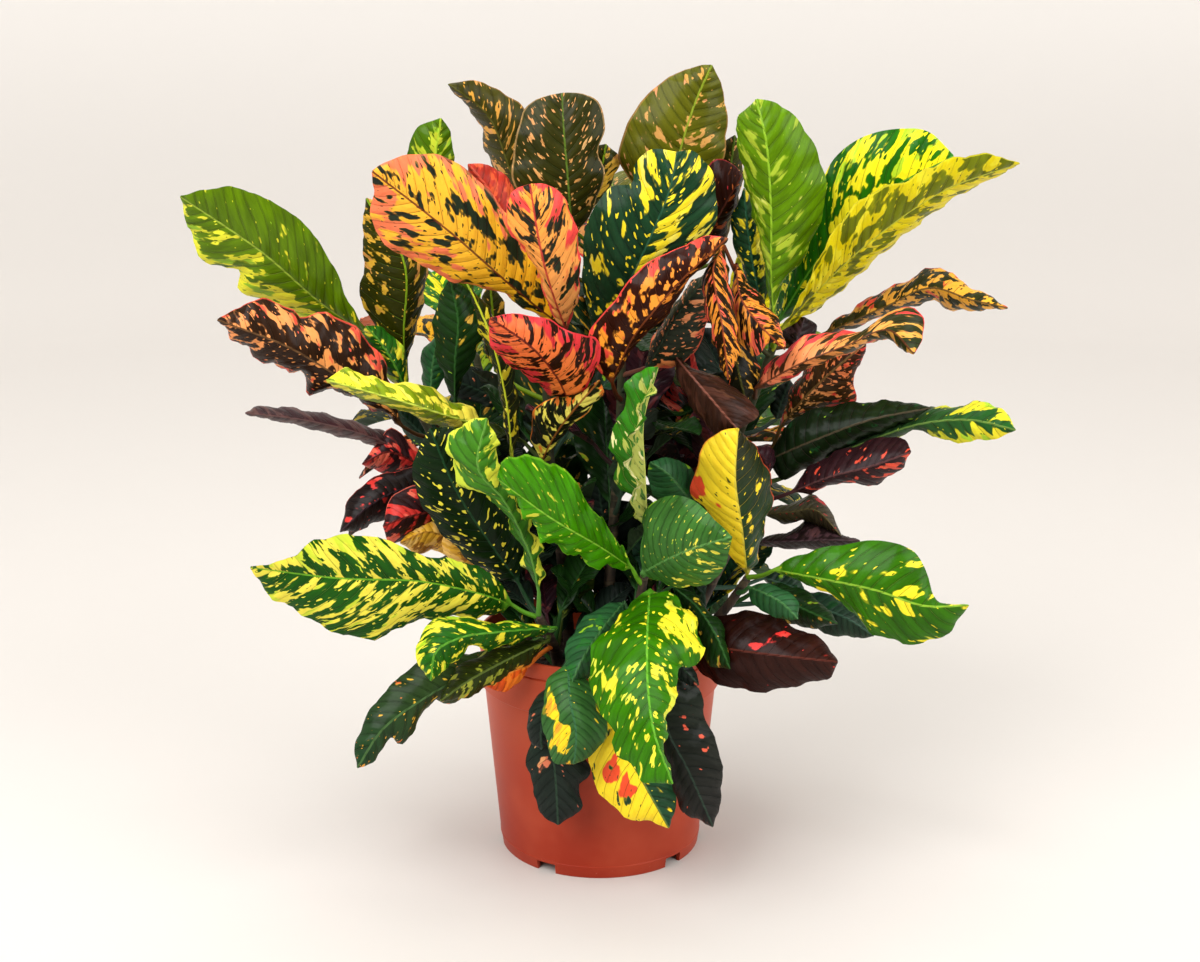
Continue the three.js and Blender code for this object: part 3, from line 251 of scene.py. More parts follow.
# What a leaf looks like: ground and mark colours, accent colour, and the share of each half that marks
# cover. A pair of colours is for the base and the tip. A pair of shares is for the left and the right
# half, and each may again be a pair for the base and the tip. Other keys are explained where PLAIN gives
# their usual values.
LOOKS = {
    # green and yellow
    "green_edge": dict(
        ground=("#5a7a06", "#5c7c08"), mark=("#f2e62c", "#dfe03a"), accent="#8fb828",
        cover=((0.62, 0.22), (0.012, 0.01)), edge=(1.3, 0), long=1.8, speck=0.01, rib="#a4bc3e",
        patches=(("mark", -0.7, 0.4, 0.5, 0.2, 0.12),),
    ),
    "lime": dict(
        ground=("#667c0a", "#80960e"), mark=("#eede4e", "#e8e230"), accent="#e8dc50", cover=(0.3, 0.45),
        soft=2, rim=0.6, rib="#c8d84a", edge=0.8,
    ),
    "small_green": dict(
        ground=("#3c5802", "#466a04"), mark=("#8cae1a", "#c4d038"), accent=LIME,
        cover=((0.06, 0.3), (0.1, 0.3)), soft=4, rib="#b8d838",
    ),
    "lime_dark": dict(
        ground=("#10160a", "#1c2606"), mark=("#a8961c", "#b4a824"), accent="#e8dc50", cover=0.14, size=7,
        rib="#c8d030",
    ),
    "streaked_green": dict(
        ground=("#4e7402", "#5e8806"), mark=("#a4ba30", "#a4bc34"), accent="#d8de6a",
        cover=((0.22, 0.16), (0.22, 0.05)), size=10, long=2.4, soft=4, speck=0.012, rib="#94c030",
    ),
    "green_yellow": dict(
        ground=("#1a4e0e", "#226010"), mark=("#f0e032", "#e8e040"), accent="#a8cc2c", cover=(0.22, 0.28),
        size=7, long=1.8, edge=0.8, speck=0.025, rib="#5c9a2c",
    ),
    "green_yellow_big": dict(
        ground=("#1c5c08", "#226a08"), mark=("#f0e42c", "#f6e81c"), accent="#b4d62c",
        cover=((0.01, 0.8), (0.01, 0.55)), long=1.5, soft=1.6, speck=0.03, rib="#5aa030",
    ),
    "green_yellow_long": dict(
        ground=("#32302a", "#1f5c1c"), mark=("#8cc02c", "#f0de2c"), accent="#a8cc2c",
        cover=((0.15, 0.2), (0.3, 0.3)), size=10, long=2.4, edge=1.5, rib="#6a8a3c",
    ),
    "green_yellow_heavy": dict(
        ground=("#184a08", "#1c560c"), mark=("#f0e24a", "#eee04c"), accent="#c8d83a",
        cover=((0.12, 0.44), (0.12, 0.4)), size=6, long=2.6, edge=0.3, speck=0.04, rib="#74b42c",
        ruffle=1.3,
        patches=(
            ("mark", -0.55, 0.37, 0.35, 0.09, 0.13),
            ("mark", 0.9, 0.5, 0.25, 0.3, 0.12),
        ),
    ),
    "green_yellow_patch": dict(
        ground=("#38682c", "#36602e"), mark=("#f8dc28", "#f4c828"), accent="#f0a030",
        cover=((0.01, 0.02), (0.01, 0.03)), size=14, long=1.2, edge=1, rib="#3c6a44",
        patches=(
            ("mark", 0.55, 0.45, 0.3, 0.08, 0.45),
            ("mark", 0.4, 0.64, 0.3, 0.09, 0.45),
        ),
    ),
    "green_curl": dict(
        ground=("#306218", "#44801e"), mark=("#e2de46", "#d8e040"), accent="#c8d83e", cover=(0.1, 0.28),
        edge=2, size=8, rim=1, rib="#6aa040", ruffle=3,
    ),
    "front_green_yellow": dict(
        ground=("#2e6802", "#387b04"), mark=("#f4e42a", "#e8e040"), accent="#d8e048",
        cover=((0.03, 0.03), (0.02, 0.04)), size=13, long=1.1, edge=0.5, speck=0.045, rib="#6ab030",
        ruffle=2,
        patches=(
            ("mark", -0.57, 0.26, 0.45, 0.09, 0.5),
            ("mark", -0.9, 0.62, 0.25, 0.07, 0.42),
        ),
    ),
    "right_green_yellow": dict(
        ground=("#326c06", "#306406"), mark=("#f2e02a", "#f0de30"), accent="#d8dc3a",
        cover=((0.02, 0.2), (0.03, 0.26)), long=1.3, speck=0.014, rib="#8cb834", size=12,
    ),
    "bright_green": dict(
        ground=("#3a8100", "#449202"), mark=("#c0dc3c", "#eee44a"), accent="#8cc82c",
        cover=((0.008, 0.012), (0.012, 0.03)), size=7, speck=0.01, rim=0.4, rib="#90c83c", ruffle=3,
    ),
    "bright_green_fold": dict(
        ground=("#265e0c", "#348014"), mark=("#a8b24c", "#b4ba58"), accent="#e6e2a0",
        cover=(0.05, (0.97, 0.25)), size=8, soft=2, speck=0.02, rib="#c8d060", ruffle=2.5,
    ),
    "mid_green_spots": dict(
        ground=("#346224", "#3c6e2a"), mark=("#e8e05a", "#f0e24a"), accent=LIME,
        cover=(0.003, (0.01, 0.02)), size=5, long=1.8, speck=0.018, rib="#5c9048",
        patches=(("mark", 0.3, 0.7, 0.45, 0.2, 0.18),),
    ),
    "half_yellow": dict(
        ground=("#1d3c20", "#20442a"), mark=("#f8d828", "#f9da2a"), accent="#e8502c",
        cover=((0.005, 0.01), (0.8, 0.99)), size=11, long=1.2, shift=0.01, blush=0, rib="#4a6a3a", ruffle=1,
        hole=0.008,
        patches=(
            ("accent", 0.52, 0.53, 0.2, 0.05, 0.36),
            ("accent", 0.4, 0.66, 0.24, 0.06, 0.38),
        ),
    ),
    "half_yellow_up": dict(
        ground=("#1d4420", "#2a281a"), mark=("#f9d62a", "#f8d830"), accent="#dc4a2c",
        cover=(0.998, (0.02, 0.02)), shift=0.001, blush=0, hole=0.012, speck=0.012, rim=0.6, rib="#e8d040",
        patches=(("accent", -0.95, 0.57, 0.3, 0.06, 0.45),),
    ),
    "yellow_olive": dict(
        ground=("#666e02", "#707a04"), mark=("#dccc06", "#e2d010"), accent="#ece02c",
        cover=((0.5, 0.4), (0.85, 0.65)), size=13, long=1.3, soft=1.6, edge=0.4, rim=0.7, rib="#c8cc3a",
    ),
    # dark green
    "dark_green": dict(
        ground=("#10280a", "#1a3a10"), mark=("#c8b82c", "#e0a040"), accent=LIME, cover=(0.01, 0.02),
        speck=0.006, rib="#2f5a26",
    ),
    "night_green": dict(
        ground=("#10200a", "#18260f"), mark=(DARK_GREEN, DARK_GREEN), accent=LIME, cover=0.03, speck=0.002,
        rib="#4c4230",
    ),
    "dark_green_yellow": dict(
        ground=("#1a3a20", "#1c3e24"), mark=("#f4dc28", "#f0da2c"), accent="#f0e25a",
        cover=((0.03, 0.24), (0.34, 0.14)), size=10, long=1.6, speck=0.03, rib="#2c5a40",
    ),
    "dark_green_ovals": dict(
        ground=("#0d2008", "#11260c"), mark=("#eed83a", "#e8e04a"), accent="#f0e25a", cover=(0.004, 0.01),
        size=9, long=1.2, speck=0.042, rib="#1f4426",
    ),
    "dark_green_spots": dict(
        ground=("#38471a", "#1c3a20"), mark=("#ecd42c", "#e8a03a"), accent="#e8703a",
        cover=((0.03, 0.05), (0.004, 0.01)), size=5, speck=0.006, rib="#4a6a3a",
    ),
    "black_green": dict(
        ground=("#1e2e22", "#1a1f1c"), mark=("#c87848", "#d8705a"), accent=PEACH, cover=(0.001, 0.003),
        speck=0.004, rib="#2c4030",
    ),
    "mid_green": dict(
        ground=("#2a5a30", "#2c5a32"), mark=(MID_GREEN, MID_GREEN), accent=LIME, cover=0.05, speck=0,
        rib="#4a7a44",
    ),
    "dark_grey_green": dict(
        ground=("#1c3424", "#263e2c"), mark=(DARK_GREEN, DARK_GREEN), accent=LIME, cover=0.1, speck=0.004,
        rib="#3c5a48",
    ),
    "green_black": dict(
        ground=("#14160a", "#161408"), mark=("#e0a03a", "#e8b040"), accent="#e8603a", cover=0.14, size=6,
        long=2, speck=0.03, rib="#4a4a1c",
    ),
    # olive
    "olive_orange": dict(
        ground=("#282a02", "#323404"), mark=("#c8a02c", "#d8a63a"), accent="#d0904a",
        cover=((0.03, 0.15), (0.15, 0.35)), size=7, edge=0.8, speck=0.02, rib="#86aa20",
    ),
    "olive_dark": dict(
        ground=("#2a2a06", "#36360e"), mark=("#cf9a50", "#dc9a60"), accent="#e0b070", cover=(0.035, 0.04),
        size=5, long=1.8, speck=0.02, rim=0.4, rib="#5a7426",
    ),
    "olive": dict(
        ground=("#36340a", "#423f10"), mark=("#c89050", "#dca03c"), accent="#d89a5a",
        cover=((0.3, 0.05), (0.04, 0.08)), size=5, long=2.6, speck=0.01, rim=0.3, rib="#5c5a22",
    ),
    "olive_light": dict(
        ground=("#58560c", "#5c5e0c"), mark=("#c8905a", "#d4a046"), accent="#d89060", cover=(0.06, 0.07),
        size=6.5, long=1.6, speck=0.012, rim=0.3, rib="#8fa22c",
    ),
    "olive_green": dict(
        ground=("#202a08", "#2c380e"), mark=("#7a8a2c", "#a4a83a"), accent=AMBER, cover=0.12, soft=3,
        rib="#5a6a2c",
    ),
    "olive_red": dict(
        ground=("#4c4a2e", "#3c3024"), mark=("#c8343a", "#d03a3a"), accent=RED, cover=0.004, size=8,
        rib="#5a5030", patches=(("mark", -0.75, 0.6, 0.5, 0.1, 0.35),),
    ),
    # orange, red and brown
    "orange_yellow": dict(
        ground=("#233018", "#232a20"), mark=("#fdc420", "#fbb23a"), accent="#f07a50",
        cover=((0.62, 0.84), (0.5, 0.84)), long=1.2, shift=0.1, blush=1.8, hole=0.03, rim=0.35,
        rib="#6a2a1c", size=11, patches=(("accent", -0.5, 0.85, 0.5, 0.2, 0.25),),
    ),
    "orange_dark": dict(
        ground=("#1f2f1c", "#2a281c"), mark=("#fbb066", "#ff9e38"), accent="#ec4a44",
        cover=((0.9, 0.9), (0.62, 0.85)), size=8, long=1.6, shift=0.12, blush=2, rim=0.8, rib="#c8403a",
    ),
    "coral_dark": dict(
        ground=("#240e06", "#341208"), mark=("#f5843c", "#f06a3c"), accent="#d8343a",
        cover=((0.66, 0.76), (0.56, 0.58)), size=3.6, long=3.2, shift=0.3, blush=2.4, rim=1, rib="#6a1f18",
    ),
    "red": dict(
        ground=("#a02818", "#b03020"), mark=("#b0502a", "#d8542e"), accent="#e05a34", cover=0.2, soft=3,
        rib="#d85a44",
    ),
    "yellow_green_dark": dict(
        ground=("#10160a", "#161e08"), mark=("#e8d84e", "#ece06a"), accent="#f08030",
        cover=((0.25, 0.45), (0.3, 0.4)), size=6, long=2, shift=0.2, blush=1.6, rim=0.8, rib="#9a5a24",
    ),
    "brown_orange": dict(
        ground=("#2a170a", "#301c0e"), mark=("#f0a050", "#f0985a"), accent="#e8553f",
        cover=((0.05, 0.1), (0.15, 0.32)), size=8, shift=0.08, blush=1.5, speck=0.03, rim=0.7,
        rib="#6a4a2c", ruffle=2,
    ),
    "brown_orange_red": dict(
        ground=("#2c0f04", "#30120a"), mark=("#f8a02c", "#f28a3a"), accent="#e8483c",
        cover=((0.36, 0.2), (0.07, 0.1)), long=1.3, shift=0.25, blush=1.8, speck=0.03, rim=0.9,
        rib="#7a3a1a",
    ),
    "brown_flecked": dict(
        ground=("#3a3010", "#3a180a"), mark=("#dfae62", "#e8603c"), accent="#de3a34", cover=(0.16, 0.2),
        size=5, shift=0.3, blush=1, speck=0.06, rim=0.5, rib="#7a5a30",
    ),
    "grey_green_orange": dict(
        ground=("#282e1e", "#2e3426"), mark=("#ee8a4c", "#e8a070"), accent="#e06448",
        cover=((0.05, 0.1), (0.05, 0.1)), size=5, long=2.4, edge=0.5, shift=0.1, blush=1.8, speck=0.06,
        rim=0.8, rib="#3a4a38", patches=(("mark", 0.8, 0.12, 0.4, 0.1, 0.35),),
    ),
    "brown_yellow_tip": dict(
        ground=("#2c280e", "#2a2e0c"), mark=("#c88c40", "#f6b030"), accent="#dc4a34",
        cover=((0.28, 0.6), (0.24, 0.62)), size=6, long=1.8, shift=0.12, blush=0.8, rim=0.6, rib="#5c4620",
    ),
    "coral_green_tip": dict(
        ground=("#4a2a18", "#2c3818"), mark=("#f2805c", "#e8b048"), accent="#e04444",
        cover=((0.8, 0.3), (0.6, 0.35)), size=6, long=3, shift=0.2, blush=2, rim=0.9, rib="#6a3a22",
    ),
    "orange_stripe": dict(
        ground=("#1c1006", "#221408"), mark=("#ea8c38", "#ea9630"), accent="#e8604a", cover=0.33, size=3.4,
        long=3.4, shift=0.3, rib="#8a3c20",
    ),
    "yellow_orange": dict(
        ground=("#8a5420", "#b87c20"), mark=("#dda236", "#d8a42c"), accent="#e8b860", cover=0.85, soft=3,
        shift=0.3, rib="#b8802c",
    ),
    "bright_orange": dict(
        ground=("#e8601a", "#e4501a"), mark=("#f88c2a", "#ee6a1e"), accent="#e84a1c", cover=0.5, soft=3,
        rib="#f0903a",
    ),
    "black_salmon": dict(
        ground=("#1c261a", "#221f1e"), mark=("#e8583e", "#e06a50"), accent=CORAL, cover=0.002, size=6,
        speck=0.004, rib="#2f4034",
        patches=(
            ("mark", -0.42, 0.36, 0.2, 0.03, 0.42),
            ("mark", -0.66, 0.53, 0.15, 0.03, 0.4),
            ("mark", -0.72, 0.43, 0.14, 0.02, 0.4),
        ),
    ),
    "black_red": dict(
        ground=("#2a1416", "#33181a"), mark=("#d0322c", "#d83a34"), accent="#f0705a", cover=0.5, size=9,
        shift=0.2, rim=0.6, rib="#6a2420",
    ),
    "black_purple": dict(
        ground=("#1a1210", "#1e1412"), mark=("#c83230", "#d83a34"), accent="#e8584a", cover=(0.015, 0.02),
        size=8, rim=0.3, rib="#3a2a30",
    ),
    "red_dark": dict(
        ground=("#160803", "#2e1008"), mark=("#8a2a1c", "#b8602a"), accent=RED, cover=0.05, speck=0.02,
        rim=0.4, rib="#5a2418",
    ),
    "mauve": dict(
        ground=("#2e180e", "#3c2218"), mark=("#4c2c20", "#4a2a20"), accent="#5c3a2a", cover=0.3, soft=6,
        speck=0.004, rib="#8a5444",
    ),
    "purple": dict(
        ground=("#42282a", "#3a2024"), mark=("#5c3c3c", "#583c38"), accent="#5c3c3c", cover=0.4, size=6,
        long=4, soft=6, rib="#6a4c4a",
    ),
    "dusk": dict(
        ground=("#241816", "#2c1e1e"), mark=("#4a3236", "#4a3438"), accent="#5a3a3a", cover=0.2, soft=5,
        rib="#4a363a",
    ),
    "maroon_red": dict(
        ground=("#331a1e", "#2b1618"), mark=("#e85238", "#e0503a"), accent="#f07050",
        cover=((0.02, 0.04), (0.06, 0.28)), size=6, long=2, speck=0.01, rib="#5c3a3a",
    ),
    "maroon_dark": dict(
        ground=("#24121a", "#3a1a20"), mark=("#5c2a2c", "#6a2e30"), accent="#7a3030", cover=0.15, soft=4,
        rib="#4a2228",
    ),
    "maroon": dict(
        ground=("#220c08", "#34160e"), mark=("#ee3430", "#e83a34"), accent="#f04a40", cover=0.002, size=11,
        speck=0.004, rib="#5a2a20",
        patches=(
            ("mark", -0.62, 0.63, 0.2, 0.07, 0.45),
            ("mark", -0.15, 0.43, 0.15, 0.08, 0.42),
        ),
    ),
}
# Usual values. Size and long are a mark's width in mm and its length along the side veins in widths. Edge
# is how many more marks there are near the margin, and a pair of it is for the left and the right half.
# Shift and blush are the share of accent in the marks and how far it gathers at the margin. Speck and
# hole are the shares of small spots on the ground and in the marks. Rim is how much of the margin takes
# the accent, soft how blurred the marks are, and ruffle how wavy the margin is. Each of patches says
# where the mark or the accent gathers: its place across (-1 the left edge, 1 the right one) and along (0
# the base, 1 the tip), its width, its length and its strength.
PLAIN = dict(
    size=9, long=1.5, edge=0, shift=0.12, blush=0.8, speck=0.01, hole=0.02, rim=0, soft=1, ruffle=1,
    patches=(),
)

# Leaves with a clear outline: stem, look, how far each edge lies behind the midrib in mm, midrib as (across,
# down, depth), and the left and right edge as (across, down), each from base to tip
LEAVES = [
    # left stem
    ("left", "green_edge", (22, -12),
     [[396, 352, 15], [325, 306, 0], [262, 252, -20], [180, 196, -30]],
     [[350, 334], [300, 318], [262, 300], [238, 288], [240, 270], [205, 262], [190, 230]],
     [[358, 318], [330, 260], [300, 220], [245, 190], [222, 187]]),
    ("left", "brown_orange", (30, 16),
     [[402, 426, -10], [388, 406, -20], [331, 372, -35], [286, 346, -50], [217, 320, -55]],
     [[382, 412], [361, 402], [338, 389], [310, 392], [301, 372], [276, 367], [249, 351]],
     [[384, 363], [361, 333], [338, 317], [319, 313], [301, 316], [269, 299], [246, 304]]),
    ("left", "lime", (44, 22),
     [[486, 427, -65], [448, 416, -80], [400, 401, -95], [326, 380, -100]],
     [[460, 430], [435, 424], [405, 408], [365, 396]],
     [[468, 406], [443, 398], [430, 386], [407, 384], [375, 379], [347, 369]]),
    ("left", "purple", (34, 34),
     [[416, 457, -10], [368, 436, -25], [310, 421, -30], [245, 413, -30]],
     [[400, 454], [370, 442], [329, 432], [290, 421]],
     [[392, 436], [361, 425], [329, 416], [292, 409], [262, 407]]),
    ("left", "olive_orange", (12, 24),
     [[404, 375, 25], [404, 330, 15], [404, 262, 15], [366, 198, 20]],
     [[390, 352], [374, 325], [359, 290], [364, 273], [363, 232]],
     [[411, 345], [420, 315], [426, 264], [410, 228], [385, 205]]),
    ("left", "green_yellow", (14, 14),
     [[406, 392, 0], [396, 368, -5], [382, 345, -5], [366, 326, -5]],
     [[384, 372], [368, 352], [362, 338]],
     [[408, 362], [400, 344], [382, 328]]),
    ("left", "dark_green", (12, 14),
     [[455, 402, -25], [455, 362, -30], [458, 320, -30], [450, 278, -25]],
     [[446, 382], [436, 352], [434, 320], [440, 297]],
     [[464, 377], [477, 350], [486, 325], [473, 295]]),
    ("left", "mid_green", (12, 12),
     [[430, 398, 20], [433, 362, 30], [440, 332, 30]],
     [[422, 378], [424, 350]],
     [[444, 378], [449, 352]]),
    ("left", "black_red", (20, 10),
     [[432, 472, -5], [410, 460, -15], [388, 452, -22], [362, 464, -25]],
     [[412, 478], [385, 474]],
     [[420, 450], [404, 438], [390, 428], [376, 446]]),
    ("left", "black_purple", (22, 14),
     [[434, 486, -25], [400, 490, -35], [372, 504, -45], [340, 532, -50]],
     [[418, 505], [388, 517], [364, 528]],
     [[420, 468], [392, 472], [365, 483], [348, 503]]),
    ("left", "black_red", (16, 14),
     [[450, 508, -45], [425, 513, -60], [404, 518, -68], [383, 526, -72]],
     [[434, 532], [412, 539], [390, 543]],
     [[434, 490], [414, 485], [392, 498]]),
    ("left", "yellow_orange", (14, 12),
     [[474, 552, -45], [450, 540, -56], [428, 532, -62], [400, 543, -66]],
     [[455, 556], [435, 551], [415, 552]],
     [[462, 528], [443, 518], [418, 524]]),
    ("left", "yellow_orange", (10, 12),
     [[486, 572, -55], [466, 550, -66], [450, 524, -68]],
     [[462, 566], [442, 550]],
     [[478, 552], [464, 530]]),
    # centre left stem
    ("centre_left", "orange_yellow", (14, 4),
     [[562, 327, -25], [515, 289, -45], [450, 232, -65], [372, 171, -75]],
     [[528, 310], [500, 292], [447, 279], [424, 265], [385, 244], [371, 215], [374, 190]],
     [[560, 302], [548, 270], [532, 242], [507, 214], [477, 179], [442, 156], [403, 156], [382, 164]]),
    ("centre_left", "orange_dark", (8, 16),
     [[566, 330, -45], [552, 292, -76], [543, 260, -90], [536, 224, -98], [530, 184, -98]],
     [[550, 310], [536, 263], [518, 242], [507, 224], [512, 192]],
     [[576, 305], [580, 270], [578, 242], [573, 217], [552, 186]]),
    ("centre_left", "coral_dark", (18, 10),
     [[568, 400, -80], [556, 376, -110], [530, 346, -145], [490, 318, -160]],
     [[548, 392], [530, 378], [512, 366], [494, 350], [489, 334]],
     [[584, 390], [598, 361], [598, 340], [569, 331], [550, 320], [532, 316], [509, 314]]),
    ("centre_left", "red", (12, 14),
     [[530, 268, 10], [508, 222, 10], [488, 188, 14], [468, 164, 14]],
     [[508, 250], [486, 215], [470, 182]],
     [[532, 230], [516, 192], [494, 167]]),
    ("centre_left", "small_green", (10, 10),
     [[474, 300, 30], [448, 235, 42], [434, 180, 45], [441, 118, 42]],
     [[448, 275], [420, 220], [406, 165], [418, 128]],
     [[472, 255], [456, 190], [450, 132]]),
    ("centre_left", "yellow_green_dark", (14, 26),
     [[541, 462, -60], [556, 434, -80], [574, 410, -95], [600, 380, -98]],
     [[533, 440], [532, 416], [545, 401], [578, 393]],
     [[552, 446], [567, 428], [588, 410], [602, 394]]),
    ("centre_left", "lime_dark", (18, 20),
     [[512, 458, -90], [506, 400, -95], [490, 335, -92], [470, 288, -85]],
     [[505, 425], [498, 375], [480, 330]],
     [[518, 425], [514, 372], [497, 320]]),
    ("centre_left", "olive_orange", (12, 12),
     [[495, 370, 0], [494, 330, 2], [490, 283, 4]],
     [[482, 340], [480, 305]],
     [[506, 340], [504, 305]]),
    # centre stem
    ("centre", "dark_green_yellow", (10, 12),
     [[602, 334, -15], [635, 270, -35], [653, 231, -40], [670, 189, -40], [677, 152, -35]],
     [[586, 300], [583, 255], [589, 219], [610, 188], [632, 183], [634, 168], [650, 150]],
     [[626, 312], [650, 278], [681, 250], [709, 236], [717, 201], [708, 165], [692, 151]]),
    ("centre", "brown_orange_red", (10, 40),
     [[612, 382, -75], [633, 338, -92], [655, 310, -100], [688, 274, -102], [728, 238, -95]],
     [[597, 368], [588, 335], [601, 317], [621, 292], [642, 267], [681, 247], [709, 236]],
     [[624, 356], [638, 336], [662, 318], [676, 298], [686, 276], [708, 256]]),
    ("centre", "grey_green_orange", (30, 12),
     [[646, 370, -52], [665, 336, -62], [683, 306, -64], [712, 271, -54]],
     [[650, 348], [662, 324], [680, 298], [696, 280]],
     [[660, 368], [688, 360], [702, 336], [714, 304], [716, 282]]),
    ("centre", "mauve", (14, 12),
     [[672, 352, -50], [690, 374, -75], [714, 402, -88], [738, 430, -92]],
     [[696, 372], [722, 379], [740, 393], [759, 413]],
     [[682, 388], [694, 409], [713, 431]]),
    # tall stem
    ("tall", "olive_dark", (8, 8),
     [[572, 238, 20], [568, 180, 15], [564, 132, 20], [562, 93, 28]],
     [[540, 212], [513, 180], [516, 140], [525, 109], [541, 98]],
     [[592, 210], [604, 172], [598, 150], [605, 127], [601, 107], [585, 94]]),
    ("tall", "olive", (34, 12),
     [[552, 262, 52], [512, 175, 60], [488, 116, 60], [448, 84, 52]],
     [[525, 232], [486, 150], [481, 126], [466, 104]],
     [[550, 220], [532, 140], [520, 102], [507, 97], [490, 85], [470, 81]]),
    ("tall", "olive_orange", (14, 12),
     [[576, 232, 50], [590, 194, 52], [602, 165, 58], [606, 144, 60]],
     [[566, 200], [580, 168], [594, 148]],
     [[600, 200], [614, 178], [619, 158]]),
    ("tall", "olive_light", (12, 10),
     [[666, 210, 55], [683, 140, 50], [697, 98, 55], [712, 65, 58]],
     [[636, 188], [619, 158], [625, 130], [647, 95], [676, 74], [698, 66]],
     [[700, 196], [720, 168], [727, 125], [723, 92], [716, 73]]),
    ("tall", "red_dark", (12, 22),
     [[700, 262, 10], [716, 222, 0], [729, 198, -4], [742, 175, 0]],
     [[694, 222], [702, 176], [716, 160], [732, 164]],
     [[720, 248], [731, 220], [738, 194]]),
    ("tall", "olive_dark", (12, 12),
     [[716, 262, 80], [726, 200, 85], [735, 135, 85]],
     [[706, 200], [716, 150]],
     [[738, 205], [742, 150]]),
    # right stem
    ("right", "streaked_green", (34, 10),
     [[774, 326, -20], [771, 278, -30], [771, 210, -38], [766, 140, -40], [756, 99, -32]],
     [[768, 270], [758, 230], [749, 198], [740, 155], [737, 122]],
     [[782, 283], [800, 263], [817, 228], [826, 195], [821, 163], [800, 123], [776, 103]]),
    ("right", "yellow_olive", (-20, 38),
     [[780, 330, -5], [812, 296, -15], [872, 240, -40], [945, 190, -52], [1020, 163, -58]],
     [[800, 298], [820, 256], [841, 221], [871, 193], [910, 179], [939, 163], [985, 154]],
     [[812, 312], [842, 289], [890, 246], [954, 197], [990, 178]]),
    ("right", "green_yellow_big", (10, 20),
     [[778, 322, 20], [818, 260, 22], [880, 196, 18], [954, 156, 8]],
     [[790, 280], [806, 225], [825, 175], [840, 152], [862, 138], [893, 129], [930, 133]],
     [[812, 300], [860, 250], [915, 200]]),
    ("right", "dark_green_yellow", (14, 14),
     [[763, 312, 0], [754, 270, -5], [748, 230, -5], [744, 188, 0]],
     [[750, 285], [736, 250], [731, 225]],
     [[768, 280], [764, 245], [757, 212]]),
    ("right", "green_yellow", (14, 16),
     [[772, 322, 22], [790, 300, 42], [804, 270, 58], [810, 236, 68]],
     [[780, 285], [790, 255]],
     [[806, 302], [818, 265]]),
    ("right", "orange_stripe", (14, 30),
     [[724, 246, -60], [713, 270, -98], [722, 325, -120], [728, 380, -118]],
     [[727, 268], [735, 315], [738, 355]],
     [[704, 285], [712, 330], [720, 360]]),
    ("right", "orange_stripe", (22, 2),
     [[736, 264, -50], [741, 298, -78], [760, 325, -90], [785, 350, -96]],
     [[752, 288], [768, 306], [782, 330]],
     [[730, 315], [742, 345], [756, 356], [770, 342]]),
    ("right", "green_black", (12, 12),
     [[746, 325, -40], [736, 352, -60], [740, 378, -66], [746, 402, -64]],
     [[756, 350], [758, 382]],
     [[724, 362], [730, 390]]),
    ("right", "brown_yellow_tip", (22, 34),
     [[826, 333, 10], [887, 306, 0], [930, 288, -8], [972, 300, -14], [1008, 308, -16]],
     [[836, 320], [852, 310], [878, 293], [905, 282], [926, 270], [942, 268], [960, 281], [990, 297]],
     [[850, 328], [878, 316], [910, 306], [937, 301], [952, 310], [980, 309]]),
    ("right", "coral_green_tip", (16, 34),
     [[756, 388, -60], [800, 364, -78], [850, 344, -88], [888, 330, -92], [914, 354, -95]],
     [[766, 368], [790, 347], [815, 333], [841, 333], [875, 327], [902, 306], [922, 316], [923, 336]],
     [[780, 382], [818, 362], [850, 350], [884, 338], [899, 346]]),
    ("right", "dusk", (12, 12),
     [[794, 348, -5], [800, 332, 0], [804, 317, 4]],
     [[782, 338], [788, 322]],
     [[812, 342], [816, 326]]),
    # right low stem
    ("right_low", "brown_flecked", (24, 14),
     [[780, 428, -10], [806, 396, -24], [836, 368, -32], [866, 343, -34]],
     [[788, 398], [803, 372], [822, 354], [846, 343]],
     [[806, 416], [835, 406], [857, 402], [852, 378], [862, 362]]),
    ("right_low", "night_green", (18, 22),
     [[768, 460, -30], [815, 440, -45], [870, 420, -56], [931, 408, -60]],
     [[780, 436], [797, 417], [830, 406], [868, 402], [905, 402]],
     [[782, 478], [818, 462], [856, 443], [900, 425]]),
    ("right_low", "green_yellow_long", (26, 10),
     [[798, 470, -20], [856, 446, -40], [920, 424, -52], [970, 420, -58], [1016, 430, -60]],
     [[836, 449], [880, 428], [910, 413], [930, 406], [951, 408], [976, 402], [1000, 408]],
     [[840, 460], [885, 442], [919, 430], [944, 440], [976, 441], [1002, 436]]),
    ("right_low", "maroon_red", (20, 22),
     [[792, 492, -40], [830, 477, -58], [872, 466, -68], [911, 452, -70]],
     [[800, 478], [822, 459], [855, 446], [885, 437], [905, 440]],
     [[815, 491], [841, 481], [864, 485], [885, 480], [902, 466]]),
    ("right_low", "olive_red", (30, 30),
     [[764, 514, -20], [792, 512, -30], [815, 510, -36], [841, 536, -38]],
     [[778, 506], [800, 502], [815, 494], [830, 514]],
     [[782, 522], [805, 521], [824, 530]]),
    ("right_low", "dusk", (30, 34),
     [[755, 542, -20], [795, 541, -30], [828, 540, -42], [860, 541, -50]],
     [[775, 536], [798, 528], [812, 519], [835, 533]],
     [[778, 546], [802, 547], [832, 549]]),
    ("right_low", "maroon_dark", (12, 10),
     [[768, 474, -36], [765, 460, -46], [752, 446, -52]],
     [[752, 468], [746, 456]],
     [[776, 460], [772, 449]]),
    ("right_low", "maroon_dark", (14, 14),
     [[742, 520, -30], [722, 470, -42], [708, 430, -46], [700, 402, -42]],
     [[716, 490], [694, 450], [690, 420]],
     [[742, 470], [732, 432], [716, 408]]),
    # front left stem
